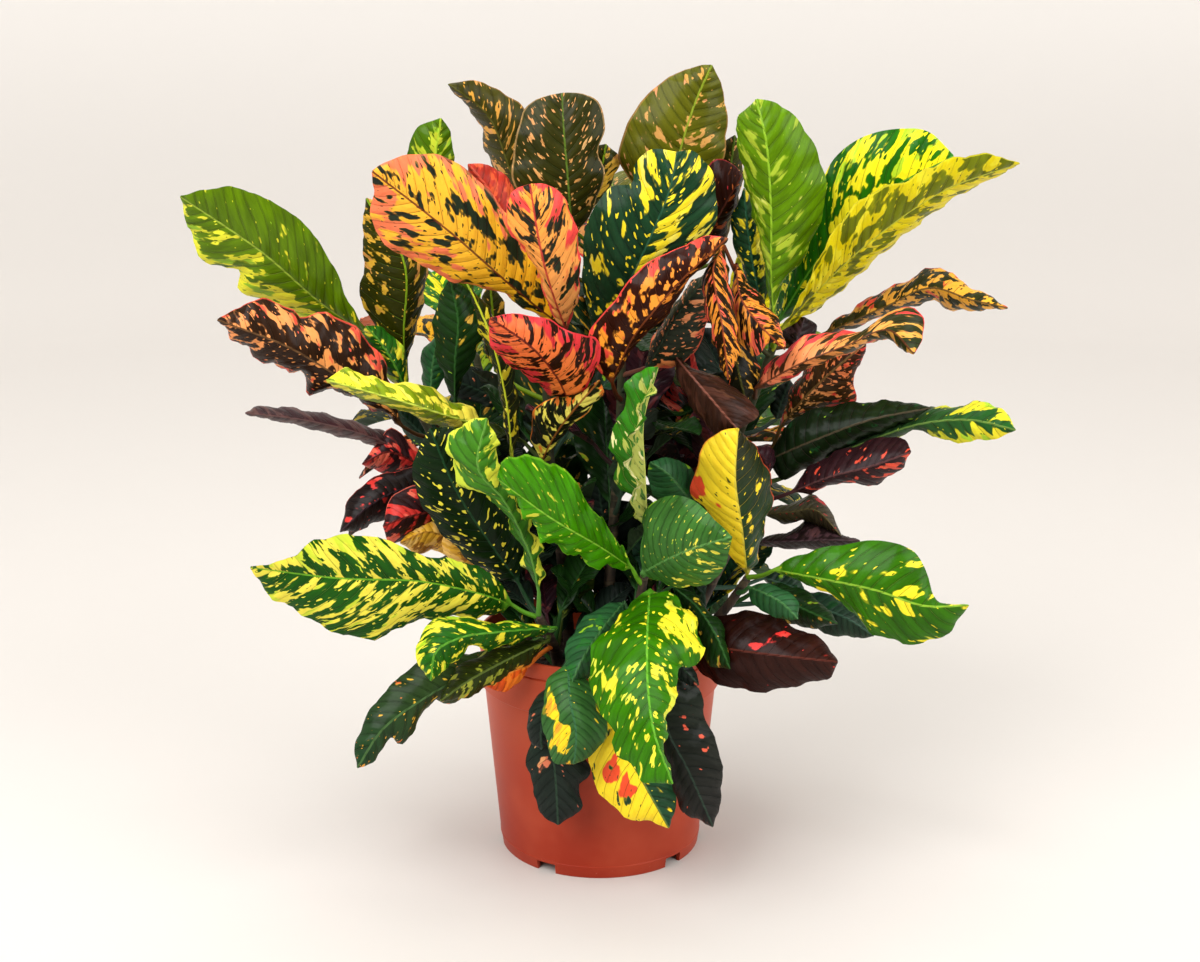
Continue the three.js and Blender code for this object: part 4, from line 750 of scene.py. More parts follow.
    ("front_left", "green_yellow_heavy", (14, -8),
     [[511, 604, -90], [482, 594, -110], [420, 581, -130], [340, 578, -152], [250, 567, -160]],
     [[494, 615], [450, 617], [402, 625], [380, 638], [333, 631], [300, 612], [270, 595]],
     [[506, 592], [489, 572], [450, 559], [420, 555], [390, 541], [355, 535], [317, 540], [285, 560]]),
    ("front_left", "green_curl", (18, 14),
     [[539, 592, -92], [530, 555, -104], [505, 502, -118], [478, 468, -126], [487, 418, -124]],
     [[528, 570], [517, 533], [494, 495], [460, 479], [450, 455], [452, 432], [470, 421]],
     [[542, 571], [540, 548], [518, 500], [500, 470], [497, 440]]),
    ("front_left", "dark_green_ovals", (12, 16),
     [[518, 582, -70], [488, 540, -84], [456, 490, -92], [430, 428, -92]],
     [[498, 578], [470, 560], [440, 530], [420, 500], [413, 465]],
     [[522, 545], [508, 505], [485, 462], [455, 430]]),
    ("front_left", "green_yellow", (22, 14),
     [[556, 628, -105], [500, 632, -132], [460, 638, -150], [436, 652, -160], [431, 681, -165]],
     [[517, 642], [490, 649], [470, 646], [456, 661], [443, 670]],
     [[517, 622], [490, 623], [452, 616], [428, 624], [418, 645], [419, 666]]),
    ("front_left", "dark_green_spots", (14, 12),
     [[540, 638, -84], [480, 668, -105], [425, 698, -125], [384, 728, -138], [357, 768, -146]],
     [[505, 670], [470, 690], [448, 705], [434, 699], [412, 732], [400, 745], [391, 736], [375, 760]],
     [[480, 652], [440, 655], [421, 661], [400, 677], [372, 708], [356, 744]]),
    ("front_left", "olive_green", (14, 18),
     [[548, 640, -100], [505, 661, -120], [470, 680, -132], [440, 701, -138]],
     [[530, 661], [505, 678], [480, 691], [456, 700]],
     [[512, 644], [480, 655], [455, 671]]),
    ("front_left", "bright_orange", (8, 8),
     [[528, 666, -100], [506, 674, -112], [486, 686, -116]],
     [[520, 681], [510, 690], [497, 690]],
     [[512, 661], [494, 670]]),
    # front stem
    ("front", "bright_green", (10, -14),
     [[632, 568, -88], [601, 547, -110], [550, 517, -135], [497, 478, -145]],
     [[621, 568], [601, 567], [584, 560], [566, 551], [543, 540], [530, 522], [509, 492]],
     [[618, 540], [605, 524], [587, 501], [573, 478], [555, 464], [525, 456], [503, 459]]),
    ("front", "mid_green_spots", (8, 12),
     [[642, 573, -115], [672, 557, -145], [700, 546, -165], [732, 537, -176]],
     [[642, 540], [645, 513], [660, 498], [683, 496], [706, 511]],
     [[660, 582], [688, 587], [712, 581], [725, 565]]),
    ("front", "bright_green_fold", (14, -34),
     [[646, 524, -112], [644, 470, -140], [643, 421, -148], [658, 367, -140]],
     [[631, 498], [617, 478], [614, 455], [612, 430], [624, 409], [626, 386], [640, 370]],
     [[632, 514], [637, 485], [628, 464], [640, 420], [652, 386]]),
    ("front", "front_green_yellow", (18, 10),
     [[650, 590, -85], [647, 641, -150], [648, 690, -180], [654, 732, -195], [673, 784, -200]],
     [[672, 596], [690, 612], [702, 645], [697, 664], [677, 669], [678, 689], [668, 718], [664, 748]],
     [[624, 609], [614, 628], [598, 636], [590, 670], [594, 700], [612, 728], [611, 740],
      [632, 768], [652, 783]]),
    ("front", "mid_green", (22, 14),
     [[624, 602, -70], [600, 632, -106], [582, 660, -130], [571, 685, -137]],
     [[626, 628], [612, 655], [590, 678]],
     [[604, 606], [585, 618], [569, 641], [564, 666]]),
    ("front", "green_yellow_patch", (14, 10),
     [[568, 662, -122], [570, 700, -148], [576, 732, -158], [574, 764, -160]],
     [[588, 680], [602, 708], [606, 738], [592, 754]],
     [[550, 678], [543, 700], [546, 741], [556, 762]]),
    ("front", "black_green", (10, 10),
     [[561, 674, -124], [546, 708, -136], [541, 732, -140], [542, 750, -140]],
     [[560, 706], [558, 735]],
     [[538, 696], [527, 722], [532, 742]]),
    ("front", "black_green", (14, 10),
     [[562, 676, -116], [553, 740, -124], [556, 785, -128], [558, 825, -130]],
     [[572, 705], [582, 752], [590, 772], [579, 787], [581, 808]],
     [[548, 705], [530, 745], [527, 768], [534, 786], [539, 811]]),
    ("front", "half_yellow", (16, 10),
     [[602, 678, -124], [616, 732, -132], [642, 780, -140], [669, 828, -142]],
     [[630, 718], [655, 752], [672, 784], [675, 808]],
     [[592, 712], [588, 750], [594, 780], [607, 801], [630, 818], [652, 822]]),
    ("front", "black_salmon", (16, 18),
     [[656, 676, -118], [668, 731, -126], [688, 770, -130], [713, 827, -131]],
     [[682, 681], [697, 686], [706, 720], [720, 754], [722, 778], [719, 806]],
     [[652, 716], [660, 750], [668, 780], [685, 812]]),
    ("front", "dark_green", (10, 14),
     [[672, 586, -75], [698, 608, -92], [716, 636, -106], [730, 669, -112]],
     [[692, 592], [708, 610], [722, 625], [727, 648]],
     [[684, 618], [698, 646], [712, 665]]),
    ("front", "black_green", (8, 8),
     [[668, 656, -112], [682, 668, -122], [699, 685, -126]],
     [[684, 660], [696, 672]],
     [[672, 672], [686, 684]]),
    ("front", "mid_green", (12, 12),
     [[700, 512, -70], [682, 490, -85], [668, 474, -92], [650, 462, -92]],
     [[684, 504], [662, 500], [648, 482]],
     [[698, 486], [688, 466], [668, 458]]),
    # front right stem
    ("front_right", "half_yellow_up", (14, 34),
     [[747, 574, -72], [742, 530, -95], [735, 478, -106], [738, 428, -102]],
     [[734, 560], [715, 519], [699, 503], [690, 490], [696, 472], [705, 443], [722, 431]],
     [[757, 558], [762, 533], [772, 500], [771, 480], [757, 450]]),
    ("front_right", "right_green_yellow", (12, 14),
     [[774, 570, -95], [822, 579, -115], [875, 590, -135], [925, 606, -146], [969, 605, -150]],
     [[788, 560], [809, 552], [841, 545], [880, 541], [912, 550], [926, 572], [938, 602]],
     [[790, 577], [815, 587], [842, 602], [872, 632], [892, 640], [921, 643], [948, 632]]),
    ("front_right", "mid_green", (8, 8),
     [[749, 587, -98], [766, 594, -110], [782, 603, -118], [798, 619, -120]],
     [[765, 584], [785, 590], [798, 604]],
     [[752, 603], [770, 614], [786, 620]]),
    ("front_right", "dark_green", (14, 14),
     [[758, 588, -60], [785, 600, -78], [810, 612, -88], [838, 624, -92]],
     [[785, 584], [818, 600]],
     [[770, 612], [802, 627]]),
    ("front_right", "dark_grey_green", (14, 14),
     [[784, 594, -46], [815, 606, -56], [846, 618, -62], [874, 636, -64]],
     [[815, 592], [855, 608]],
     [[808, 624], [845, 637]]),
    ("front_right", "maroon", (24, 16),
     [[696, 640, -72], [730, 649, -101], [783, 656, -119], [838, 662, -125]],
     [[708, 622], [740, 612], [772, 615], [795, 628], [822, 640]],
     [[700, 672], [735, 688], [769, 691], [800, 684], [828, 678]]),
]

# Leaves round the back and the sides, then inner ones behind the outlined leaves: stem, look, share of
# the stem's path, heading and climb in degrees (heading 90 is straight back), and length, width and droop
# of the tip in mm
BACK_LEAVES = [
    ("tall", "olive_light", 1.0, 96, 32, 120, 72, 40),
    ("tall", "olive_dark", 0.92, 62, 38, 150, 78, 44),
    ("tall", "orange_dark", 0.86, 128, 34, 150, 74, 46),
    ("tall", "dark_green_yellow", 0.74, 92, 24, 124, 74, 44),
    ("tall", "brown_orange_red", 0.62, 50, 24, 108, 62, 38),
    ("tall", "dark_green", 0.62, 136, 8, 120, 66, 50),
    ("back_left", "green_yellow_big", 1.0, 116, 42, 114, 70, 28),
    ("back_left", "orange_yellow", 0.92, 140, 28, 140, 76, 52),
    ("back_left", "green_yellow", 0.84, 106, 34, 112, 66, 44),
    ("back_left", "dark_green_yellow", 0.66, 150, 18, 150, 76, 60),
    ("back_left", "brown_orange", 0.66, 186, 4, 104, 62, 44),
    ("back_left", "maroon_red", 0.5, 168, 0, 136, 72, 62),
    ("back_left", "dark_green_spots", 0.4, 122, 2, 130, 66, 58),
    ("back_left", "black_salmon", 0.26, 158, -8, 118, 60, 44),
    ("back_right", "yellow_olive", 1.0, 52, 58, 150, 72, 34),
    ("back_right", "green_edge", 0.92, 34, 26, 140, 76, 52),
    ("back_right", "coral_dark", 0.84, 76, 34, 112, 66, 44),
    ("back_right", "right_green_yellow", 0.66, 32, 16, 150, 76, 60),
    ("back_right", "brown_yellow_tip", 0.66, -14, 12, 150, 70, 54),
    ("back_right", "dark_green_yellow", 0.5, 14, -2, 130, 72, 60),
    ("back_right", "maroon", 0.4, 58, 2, 130, 66, 58),
    ("back_right", "green_yellow_patch", 0.26, 38, -8, 112, 60, 44),
    ("back_low", "front_green_yellow", 1.0, 90, 56, 118, 68, 34),
    ("back_low", "mid_green_spots", 0.94, 134, 30, 100, 60, 36),
    ("back_low", "green_yellow_heavy", 0.9, 46, 28, 100, 60, 36),
    ("back_low", "dark_green_spots", 0.7, 94, 10, 90, 60, 40),
    ("back_low", "half_yellow", 0.5, 124, -4, 92, 56, 42),
    ("back_low", "black_green", 0.5, 60, -4, 92, 56, 42),
    ("centre_left", "dark_green_spots", 0.55, 100, 62, 112, 64, 14),
    ("centre_left", "dark_green", 0.25, 99, 62, 112, 62, 12),
    ("centre_left", "dark_grey_green", 0.06, 88, 56, 100, 62, 12),
    ("centre", "dark_green", 0.45, 98, 66, 105, 60, 10),
    ("centre", "maroon_dark", 0.64, 70, 60, 110, 68, 12),
    ("centre", "black_green", 0.08, 84, 76, 102, 66, 6),
    ("left", "dark_green", 0.55, 84, 62, 104, 60, 14),
    ("left", "dark_green_spots", 0.3, 96, 68, 100, 60, 10),
    ("left", "black_green", 0.08, 100, 74, 96, 60, 8),
    ("right_low", "dark_green", 0.1, 84, 66, 98, 62, 10),
    ("right", "maroon_dark", 0.35, 96, 58, 108, 62, 14),
    ("right", "black_red", 0.6, 126, 56, 110, 64, 14),
    ("right", "dark_green", 0.62, 60, 52, 104, 60, 16),
    ("right_low", "dark_green_yellow", 0.15, 44, 42, 96, 60, 18),
    ("tall", "dark_green_spots", 0.55, 112, 62, 112, 66, 14),
    ("tall", "black_green", 0.3, 84, 56, 104, 62, 14),
]
LEAF_OUT = 22
LEAF_UP = 12
BACK_PROFILE = (0.16, 0.62, 0.93, 1, 0.82, 0.42)
BACK_FOLD = math.radians(18)
BACK_WAVE = 5.0
BACK_TURNS = 9
BACK_TIP = 0.08

# Small dark leaves low on the stems, between the others. The spans are those of the share of the stem's
# path, the heading, the climb, the length and the droop, in the units of BACK_LEAVES.
INNER_LOOKS = ("dark_green", "black_green", "dark_grey_green", "maroon_dark", "dark_green", "black_green",
               "olive_green", "dark_green")
INNER_TRIES = 50
INNER_SPANS = ((0.08, 0.75), (0, 360), (-5, 55), (62.0, 88.0), (4, 22))
INNER_SLIM = 0.5
INNER_CONE = 0.44
INNER_FRONT = 0.24
INNER_CLEAR = 4.0
INNER_LOW = POT_HEIGHT + 6
TAKEN_STEP = 83

# Small dark leaves that close the core of the plant, set out as the rows of LEAVES are
CORE_LEAVES = [
    ("centre_left", "black_green", (8, 8),
     [[508, 404, 34], [478, 390, 36], [444, 376, 34]],
     [[492, 406], [462, 398]],
     [[490, 376], [464, 366]]),
    ("left", "dark_grey_green", (8, 8),
     [[442, 452, 26], [420, 432, 30], [397, 410, 32]],
     [[424, 448], [402, 430]],
     [[437, 428], [415, 409]]),
    ("centre", "black_green", (8, 8),
     [[604, 524, 10], [600, 498, 14], [598, 470, 18]],
     [[586, 512], [584, 486]],
     [[618, 512], [616, 486]]),
    ("right_low", "dark_green", (8, 8),
     [[718, 580, 40], [714, 598, 42], [708, 616, 40]],
     [[728, 592], [724, 608]],
     [[704, 592], [700, 606]]),
    ("right_low", "dark_grey_green", (8, 8),
     [[764, 578, 20], [784, 584, 22], [806, 592, 20]],
     [[774, 570], [794, 574]],
     [[776, 592], [796, 600]]),
    ("right", "black_green", (8, 8),
     [[776, 420, 30], [782, 400, 32], [790, 380, 30]],
     [[770, 408], [776, 388]],
     [[790, 412], [797, 394]]),
]


def colour(text):
    """sRGB "#rrggbb" as linear numbers."""
    parts = np.array([int(text[i:i + 2], 16) for i in (1, 3, 5)]) / 255
    return np.where(parts > 0.04045, ((parts + 0.055) / 1.055) ** 2.4, parts / 12.92)


def unit(v):
    return v / np.maximum(np.linalg.norm(v, axis=-1, keepdims=True), 1e-9)


def seen(across, down, y):
    """The point on the sight line through (across, down) at depth y; arrays or numbers."""
    x = (np.asarray(across, float) - SIGHT_MIDDLE[0]) / SIGHT_LONG
    z = (SIGHT_MIDDLE[1] - np.asarray(down, float)) / SIGHT_LONG
    line = np.stack([
        x,
        math.cos(EYE_DOWN) + z * math.sin(EYE_DOWN),
        z * math.cos(EYE_DOWN) - math.sin(EYE_DOWN),
    ], -1)
    return EYE + line * ((np.asarray(y, float) - EYE[1]) / line[..., 1])[..., None]


def run_along(line):
    """The length run at each point of a line."""
    return np.r_[0, np.cumsum(np.linalg.norm(np.diff(line, axis=0), axis=1))]


def fine_line(points):
    """The centripetal curve through the points, finely, and the length run at each fine point."""
    p = np.asarray(points, float)
    p = np.vstack([2 * p[0] - p[1], p, 2 * p[-1] - p[-2]])
    out = [p[1][None]]
    t = np.linspace(0, 1, CURVE_STEPS + 1)[1:, None]
    for a, b, c, d in zip(p, p[1:], p[2:], p[3:]):
        ab, bc, cd = (max(((w - v) ** 2).sum(), 1e-9) ** 0.25 for v, w in ((a, b), (b, c), (c, d)))
        start = ((b - a) / ab - (c - a) / (ab + bc) + (c - b) / bc) * bc
        end = ((c - b) / bc - (d - b) / (bc + cd) + (d - c) / cd) * bc
        out.append((2 * t**3 - 3 * t**2 + 1) * b + (t**3 - 2 * t**2 + t) * start
                   + (3 * t**2 - 2 * t**3) * c + (t**3 - t**2) * end)
    line = np.vstack(out)
    return line, run_along(line)


def along(points, shares):
    """Points of the curve at the given shares of its length."""
    line, run = fine_line(points)
    at = np.asarray(shares) * run[-1]
    return np.stack([np.interp(at, run, line[:, k]) for k in range(line.shape[1])], -1)


def both(value):
    """The value as a pair; a single one serves twice."""
    return value if isinstance(value, tuple) else (value, value)


def blade_shares(long):
    """Rows from base to tip of a blade this long, closer together at both ends."""
    even = np.linspace(0, 1, int(np.clip(long / ROW_GAP, *ROW_COUNTS)) + 1)
    return BASE_START + (TIP_END - BASE_START) * (even - ROW_CROWD * np.sin(2 * math.pi * even))


def vein_phase(run, out, side, gap, seed):
    """Counts the side veins; a vein lies where its fraction is 0 or 1."""
    uneven = 0.25 * np.sin(run / 19 + seed * 9) + 0.13 * np.sin(run / 8.1 + seed * 23 + side)
    return (run - out * VEIN_LEAN - out**2 * VEIN_BEND) / gap + 0.5 * (side > 0) + uneven


def blade_surface(rib, left, right, ruffle, seed):
    """Middle surface of a blade: rows by columns of ACROSS, each half arched, quilted and wavy at its margin.

    What the seed and the side add to a sine's angle only makes leaves and halves differ.
    """
    ahead = unit(np.gradient(rib, axis=0))
    run = run_along(rib)
    gap = np.clip(run[-1] / VEINS, *VEIN_GAPS)
    grid = np.zeros((len(rib), len(ACROSS), 3))
    for j, t in enumerate(ACROSS):
        side, high = np.sign(t), abs(t)
        span = (left if t < 0 else right) - rib
        reach = np.linalg.norm(span, axis=1)
        out = unit(np.cross(span, ahead)) * (-1 if t < 0 else 1)
        ends = np.minimum(1, reach / WAVE_START)
        turns = run / RUFFLE_LONG
        wave = EDGE_WAVE * high**2 * np.sin(turns + 6.3 * seed + side)
        wave += 0.4 * EDGE_WAVE * high**3 * np.sin(2.3 * turns + 9 * seed + 2 * side)
        drift = 2 * np.sin(run / SCALLOP_DRIFT + 5 * seed)
        scallop = SCALLOP * high**2 * np.sin(turns + drift + 4 * seed + 3 * side)
        veins = np.cos(2 * math.pi * vein_phase(run, high * reach, side, gap, seed))
        quilt = VEIN_RELIEF * 4 * high * (1.15 - high) * veins
        arch = BLADE_ARCH * reach * 4 * high * (1 - high)
        wide = high + ruffle * scallop * ends / np.maximum(reach, 1)
        lift = arch + (ruffle * wave - quilt) * ends
        grid[:, j] = rib + span * wide[:, None] + out * lift[:, None]
    return grid


def petiole_surface(stem, lowest, base, side):
    """Middle line and sideways direction of a petiole, from inside the stem to the base of the blade."""
    goal = base - (0, 0, PETIOLE_RISE)
    springs = along(stem, np.arange(lowest, 1 + SPRING_STEP / 2, SPRING_STEP))
    spring = springs[np.argmin(np.linalg.norm(springs - goal, axis=1))]
    sag = PETIOLE_SAG * np.linalg.norm(spring - base)
    middle = spring + PETIOLE_MIDDLE * (base - spring) - (0, 0, sag)
    reach = math.hypot(base[0], base[1])
    if reach > OVER_RIM and base[2] < POT_HEIGHT + LOW_LEAF:
        middle = np.array([*base[:2] * OVER_RIM / reach, POT_HEIGHT + RIM_CLEAR])
    line = along([spring, middle, base], np.linspace(0, 1, PETIOLE_ROWS))
    ahead = unit(np.gradient(line, axis=0))
    side = np.repeat(side[None], len(line), 0)
    return line, unit(side - ahead * (side * ahead).sum(1, keepdims=True))


def threshold(share, spread):
    """The level that a noise with this spread exceeds over the share of an area."""
    return 0.5 + NormalDist(0, spread).inv_cdf(1 - min(max(share, LEAST_SHARE), 1 - LEAST_SHARE))


def leaf_colours(look, rib, on_blade, apart, seed):
    """Values for the leaf material at every point of a leaf's grid. Its rows run from the stem to the tip."""
    rows, columns = apart.shape
    run = run_along(rib)
    stalk = rows - len(run)
    ahead = np.r_[-np.linspace(*STALK_RUN, stalk), run][:, None]
    toward_tip = np.r_[np.zeros(stalk), run / run[-1]][:, None]
    is_left = ACROSS[None] < 0
    share = np.abs(ACROSS)[None]
    outward = 2 * share - 1

    def base_to_tip(pair, at):
        first, last = pair
        return first * (1 - at) + last * at

    def level(pair):
        return base_to_tip([threshold(part, PATCH_SPREAD) for part in both(pair)], toward_tip)

    limit = np.where(is_left, *(level(pair) for pair in both(look["cover"])))
    limit = limit - np.where(is_left, *both(look["edge"])) * PATCH_SPREAD * outward
    accent_limit = threshold(look["shift"], TINT_SPREAD) - look["blush"] * TINT_SPREAD * outward
    for layer, across, at, wide, long, depth in look["patches"]:
        near = depth * np.exp(-(((ACROSS[None] - across) / wide) ** 2) - ((toward_tip - at) / long) ** 2)
        if layer == "mark":
            limit = limit - near
        else:
            accent_limit = accent_limit - near
    specks, holes = (threshold(look[key], SPOT_SPREAD) for key in ("speck", "hole"))
    gap = np.clip(run[-1] / VEINS, *VEIN_GAPS)
    phase = vein_phase(ahead, np.abs(apart), ACROSS[None], gap, seed)
    layers = {
        "where": (apart, ahead, share),
        "pattern": (limit, accent_limit, phase),
        "spots": (specks, holes, look["rim"]),
        "habit": (look["size"], look["long"], look["soft"]),
        "extra": (seed * PATTERN_APART, on_blade, 0.0),
    }
    full = np.zeros((rows, columns))
    layers = {name: np.stack([full + value for value in values], -1) for name, values in layers.items()}
    for key in ("ground", "mark", "accent", "rib"):
        tint = base_to_tip([colour(part) for part in both(look[key])], toward_tip[..., None])
        layers[key] = np.broadcast_to(tint, (rows, columns, 3))
    return layers


def leaf_mesh(stem, lowest, base, rib, left, right, look, seed):
    """Points, faces and marks of one whole leaf with its petiole, in mm."""
    look = {**PLAIN, **LOOKS[look]}
    grid = blade_surface(rib, left, right, look["ruffle"], seed)
    line, side = petiole_surface(stem, lowest, base, unit(grid[0, -1] - grid[0, 0]))
    radius = np.linspace(PETIOLE_LOW, PETIOLE_TOP, len(line))
    turn = np.sin(ACROSS * math.pi / 2)
    stalk = line[:, None] + side[:, None] * turn[None, :, None] * radius[:, None, None]
    middle = np.concatenate([stalk, grid])
    rows, columns = middle.shape[:2]
    normal = unit(np.cross(np.gradient(middle, axis=1), np.gradient(middle, axis=0)))
    halves = zip(np.linalg.norm(left - rib, axis=1), np.linalg.norm(right - rib, axis=1))
    reach = np.stack([np.where(ACROSS < 0, *pair) for pair in halves])
    apart = ACROSS[None] * reach
    toward_tip = np.linspace(0, 1, len(rib))[:, None]
    ridge = np.exp(-((apart / RIB_WIDE) ** 2))
    stalk_thick = radius[:, None] * np.cos(ACROSS * math.pi / 2)[None] + STALK_EDGE
    above = np.concatenate([stalk_thick, BLADE_HALF - RIB_SUNK * ridge * (1 - 0.7 * toward_tip)])
    below = np.concatenate([stalk_thick, BLADE_HALF + RIB_DEEP * ridge * (1 - 0.85 * toward_tip)])
    points = np.concatenate([
        (middle + normal * above[..., None]).reshape(-1, 3),
        (middle - normal * below[..., None]).reshape(-1, 3),
    ])
    count = rows * columns
    index = np.arange(count).reshape(rows, columns)
    a, b, c, d = index[:-1, :-1], index[:-1, 1:], index[1:, 1:], index[1:, :-1]
    top = np.stack([a, b, c, d], -1).reshape(-1, 4)
    bottom = np.stack([a, d, c, b], -1).reshape(-1, 4) + count
    rim = []
    for ring in (index[:, 0][::-1], index[:, -1], index[0], index[-1][::-1]):
        rim.append(np.stack([ring[:-1], ring[:-1] + count, ring[1:] + count, ring[1:]], -1))
    faces = np.concatenate([top, bottom, *rim])

    on_blade = np.r_[np.zeros(len(line)), np.clip(np.arange(len(rib)) / 2, 0, 1)][:, None]
    apart = np.concatenate([turn[None] * radius[:, None], apart])
    layers = leaf_colours(look, rib, on_blade, apart, seed)
    marks = {name: np.tile(values.reshape(-1, 3), (2, 1)) for name, values in layers.items()}
    marks["extra"][count:, 2] = 1.0
    return points, faces, marks


def traced_leaf(stem, look, away, rib_points, left_points, right_points, seed):
    """A leaf from its midrib and edges as rows of LEAVES give them."""
    rib_points = np.asarray(rib_points, float)
    midrib = seen(*rib_points.T)
    shares = blade_shares(fine_line(midrib)[1][-1])
    rib = along(midrib, shares)
    edges = []
    for points, back in zip((left_points, right_points), away):
        flat = along([rib_points[0, :2], *points, rib_points[-1, :2]], shares)
        edges.append(seen(*flat.T, rib[:, 1] + back * np.sqrt(4 * shares * (1 - shares))))
    return leaf_mesh(stem, FRONT_SPRING, midrib[0], rib, *edges, look, seed)


def back_blade(stem, at, heading, climb, long, wide, droop):
    """Base, midrib and both edges of a leaf that leaves its stem at a share of the stem's length."""
    heading, climb = math.radians(heading), math.radians(climb)
    out = np.array([math.cos(heading), math.sin(heading), 0])
    up = np.array([0, 0, 1.0])
    start = along(stem, [at])[0] + out * LEAF_OUT + up * LEAF_UP
    shares = blade_shares(long)[:, None]
    rise = long * shares * math.sin(climb) - droop * shares**2
    rib = start + out * long * shares * math.cos(climb) + up * rise
    sideways = np.cross(up, out)
    steps = np.linspace(0, 1, len(BACK_PROFILE))
    smooth = along(np.stack([steps, BACK_PROFILE], -1), np.linspace(0, 1, 60))
    half = (wide / 2 * np.interp(shares[:, 0], smooth[:, 0], smooth[:, 1]))[:, None]
    ends = np.clip((1 - shares) / BACK_TIP, 0, 1) ** 0.5
    edges = []
    for hand in (1, -1):
        wave = BACK_WAVE * np.sin(BACK_TURNS * shares + hand) * np.sin(math.pi * shares)
        lift = up * (half * math.sin(BACK_FOLD) + wave)
        edges.append(rib + (sideways * hand * half * math.cos(BACK_FOLD) + lift) * ends)
    return start, rib, *edges


def back_leaf(stem, look, at, heading, climb, long, wide, droop, seed):
    blade = back_blade(stem, at, heading, climb, long, wide, droop)
    return leaf_mesh(stem, BACK_SPRING, *blade, look, seed)


def inner_leaf(stem, look, taken, rng):
    """A small leaf inside the plant, in the freest of several tries, clear of the points taken."""
    best, most = None, -1.0
    for _ in range(INNER_TRIES):
        at, heading, climb, long, droop = (rng.uniform(*span) for span in INNER_SPANS)
        place = at, heading, climb, long, long * INNER_SLIM, droop
        blade = np.vstack([edge[4::6] for edge in back_blade(stem, *place)[1:]])
        x, y, z = blade.T
        inside = (np.hypot(x, y) < z * INNER_CONE).all() and (y > -z * INNER_FRONT).all()
        free = np.sqrt(((blade[:, None] - taken[None]) ** 2).sum(-1)).min()
        if inside and z.min() > INNER_LOW and free > most:
            best, most = place, free
    return back_leaf(stem, look, *best, rng.random()) if best and most > INNER_CLEAR else None


def stem_points(name):
    foot, *path = STEMS[name]
    return [(*foot, STEM_START), *path]


def grow_leaves():
    """Every leaf of every stem: traced ones, ones set by a heading, small ones in the gaps, and core ones."""
    rng = np.random.default_rng(SEED)
    grown = {name: [] for name in STEMS}

    def trace(rows):
        for name, look, *outline in rows:
            grown[name].append(traced_leaf(stem_points(name), look, *outline, rng.random()))

    trace(LEAVES)
    for name, *rest in BACK_LEAVES:
        grown[name].append(back_leaf(stem_points(name), *rest, rng.random()))
    taken = [leaf[0][::TAKEN_STEP] for leaves in grown.values() for leaf in leaves]
    taken += [along(stem_points(name), np.linspace(0, 1, 40)) for name in STEMS]
    for look in INNER_LOOKS:
        for name in STEMS:
            small = inner_leaf(stem_points(name), look, np.vstack(taken), rng)
            if small:
                grown[name].append(small)
                taken.append(small[0][::TAKEN_STEP])
    trace(CORE_LEAVES)
    return grown


def rod_mesh(line, radii, sides):
    """Points and faces of a round rod along a line, closed at both ends."""
    ahead = unit(np.gradient(line, axis=0))
    side = np.array([0.0, 1.0, 0.01])
    frames = []
    for a in ahead:
        side = unit(side - a * (side @ a))
        frames.append((side, np.cross(a, side)))
    turn = np.linspace(0, 2 * math.pi, sides, endpoint=False)
    points = np.concatenate([
        p + radii[i] * (np.cos(turn)[:, None] * frames[i][0] + np.sin(turn)[:, None] * frames[i][1])
        for i, p in enumerate(line)
    ])
    index = np.arange(len(points)).reshape(len(line), sides)
    ring = np.roll(index, -1, axis=1)
    walls = np.stack([index[:-1], ring[:-1], ring[1:], index[1:]], -1).reshape(-1, 4)
    middle = len(points)
    points = np.vstack([points, line[0], line[-1]])
    low = np.stack([np.full(sides, middle), ring[0], index[0]], -1)
    high = np.stack([np.full(sides, middle + 1), index[-1], ring[-1]], -1)
    return points, [*walls.tolist(), *low.tolist(), *high.tolist()]


def add_mesh(name, points, faces, materials, choice=None):
    """A Blender object from points in mm and faces; choice is the material of each face."""
    mesh = bpy.data.meshes.new(name)
    mesh.from_pydata((np.asarray(points) * MM).tolist(), [], [list(map(int, f)) for f in faces])
    for material in materials:
        mesh.materials.append(material)
    if choice is not None:
        mesh.polygons.foreach_set("material_index", np.asarray(choice, np.int32))
    mesh.polygons.foreach_set("use_smooth", np.ones(len(mesh.polygons), bool))
    mesh.update()
    made = bpy.data.objects.new(name, mesh)
    bpy.context.scene.collection.objects.link(made)
    return made


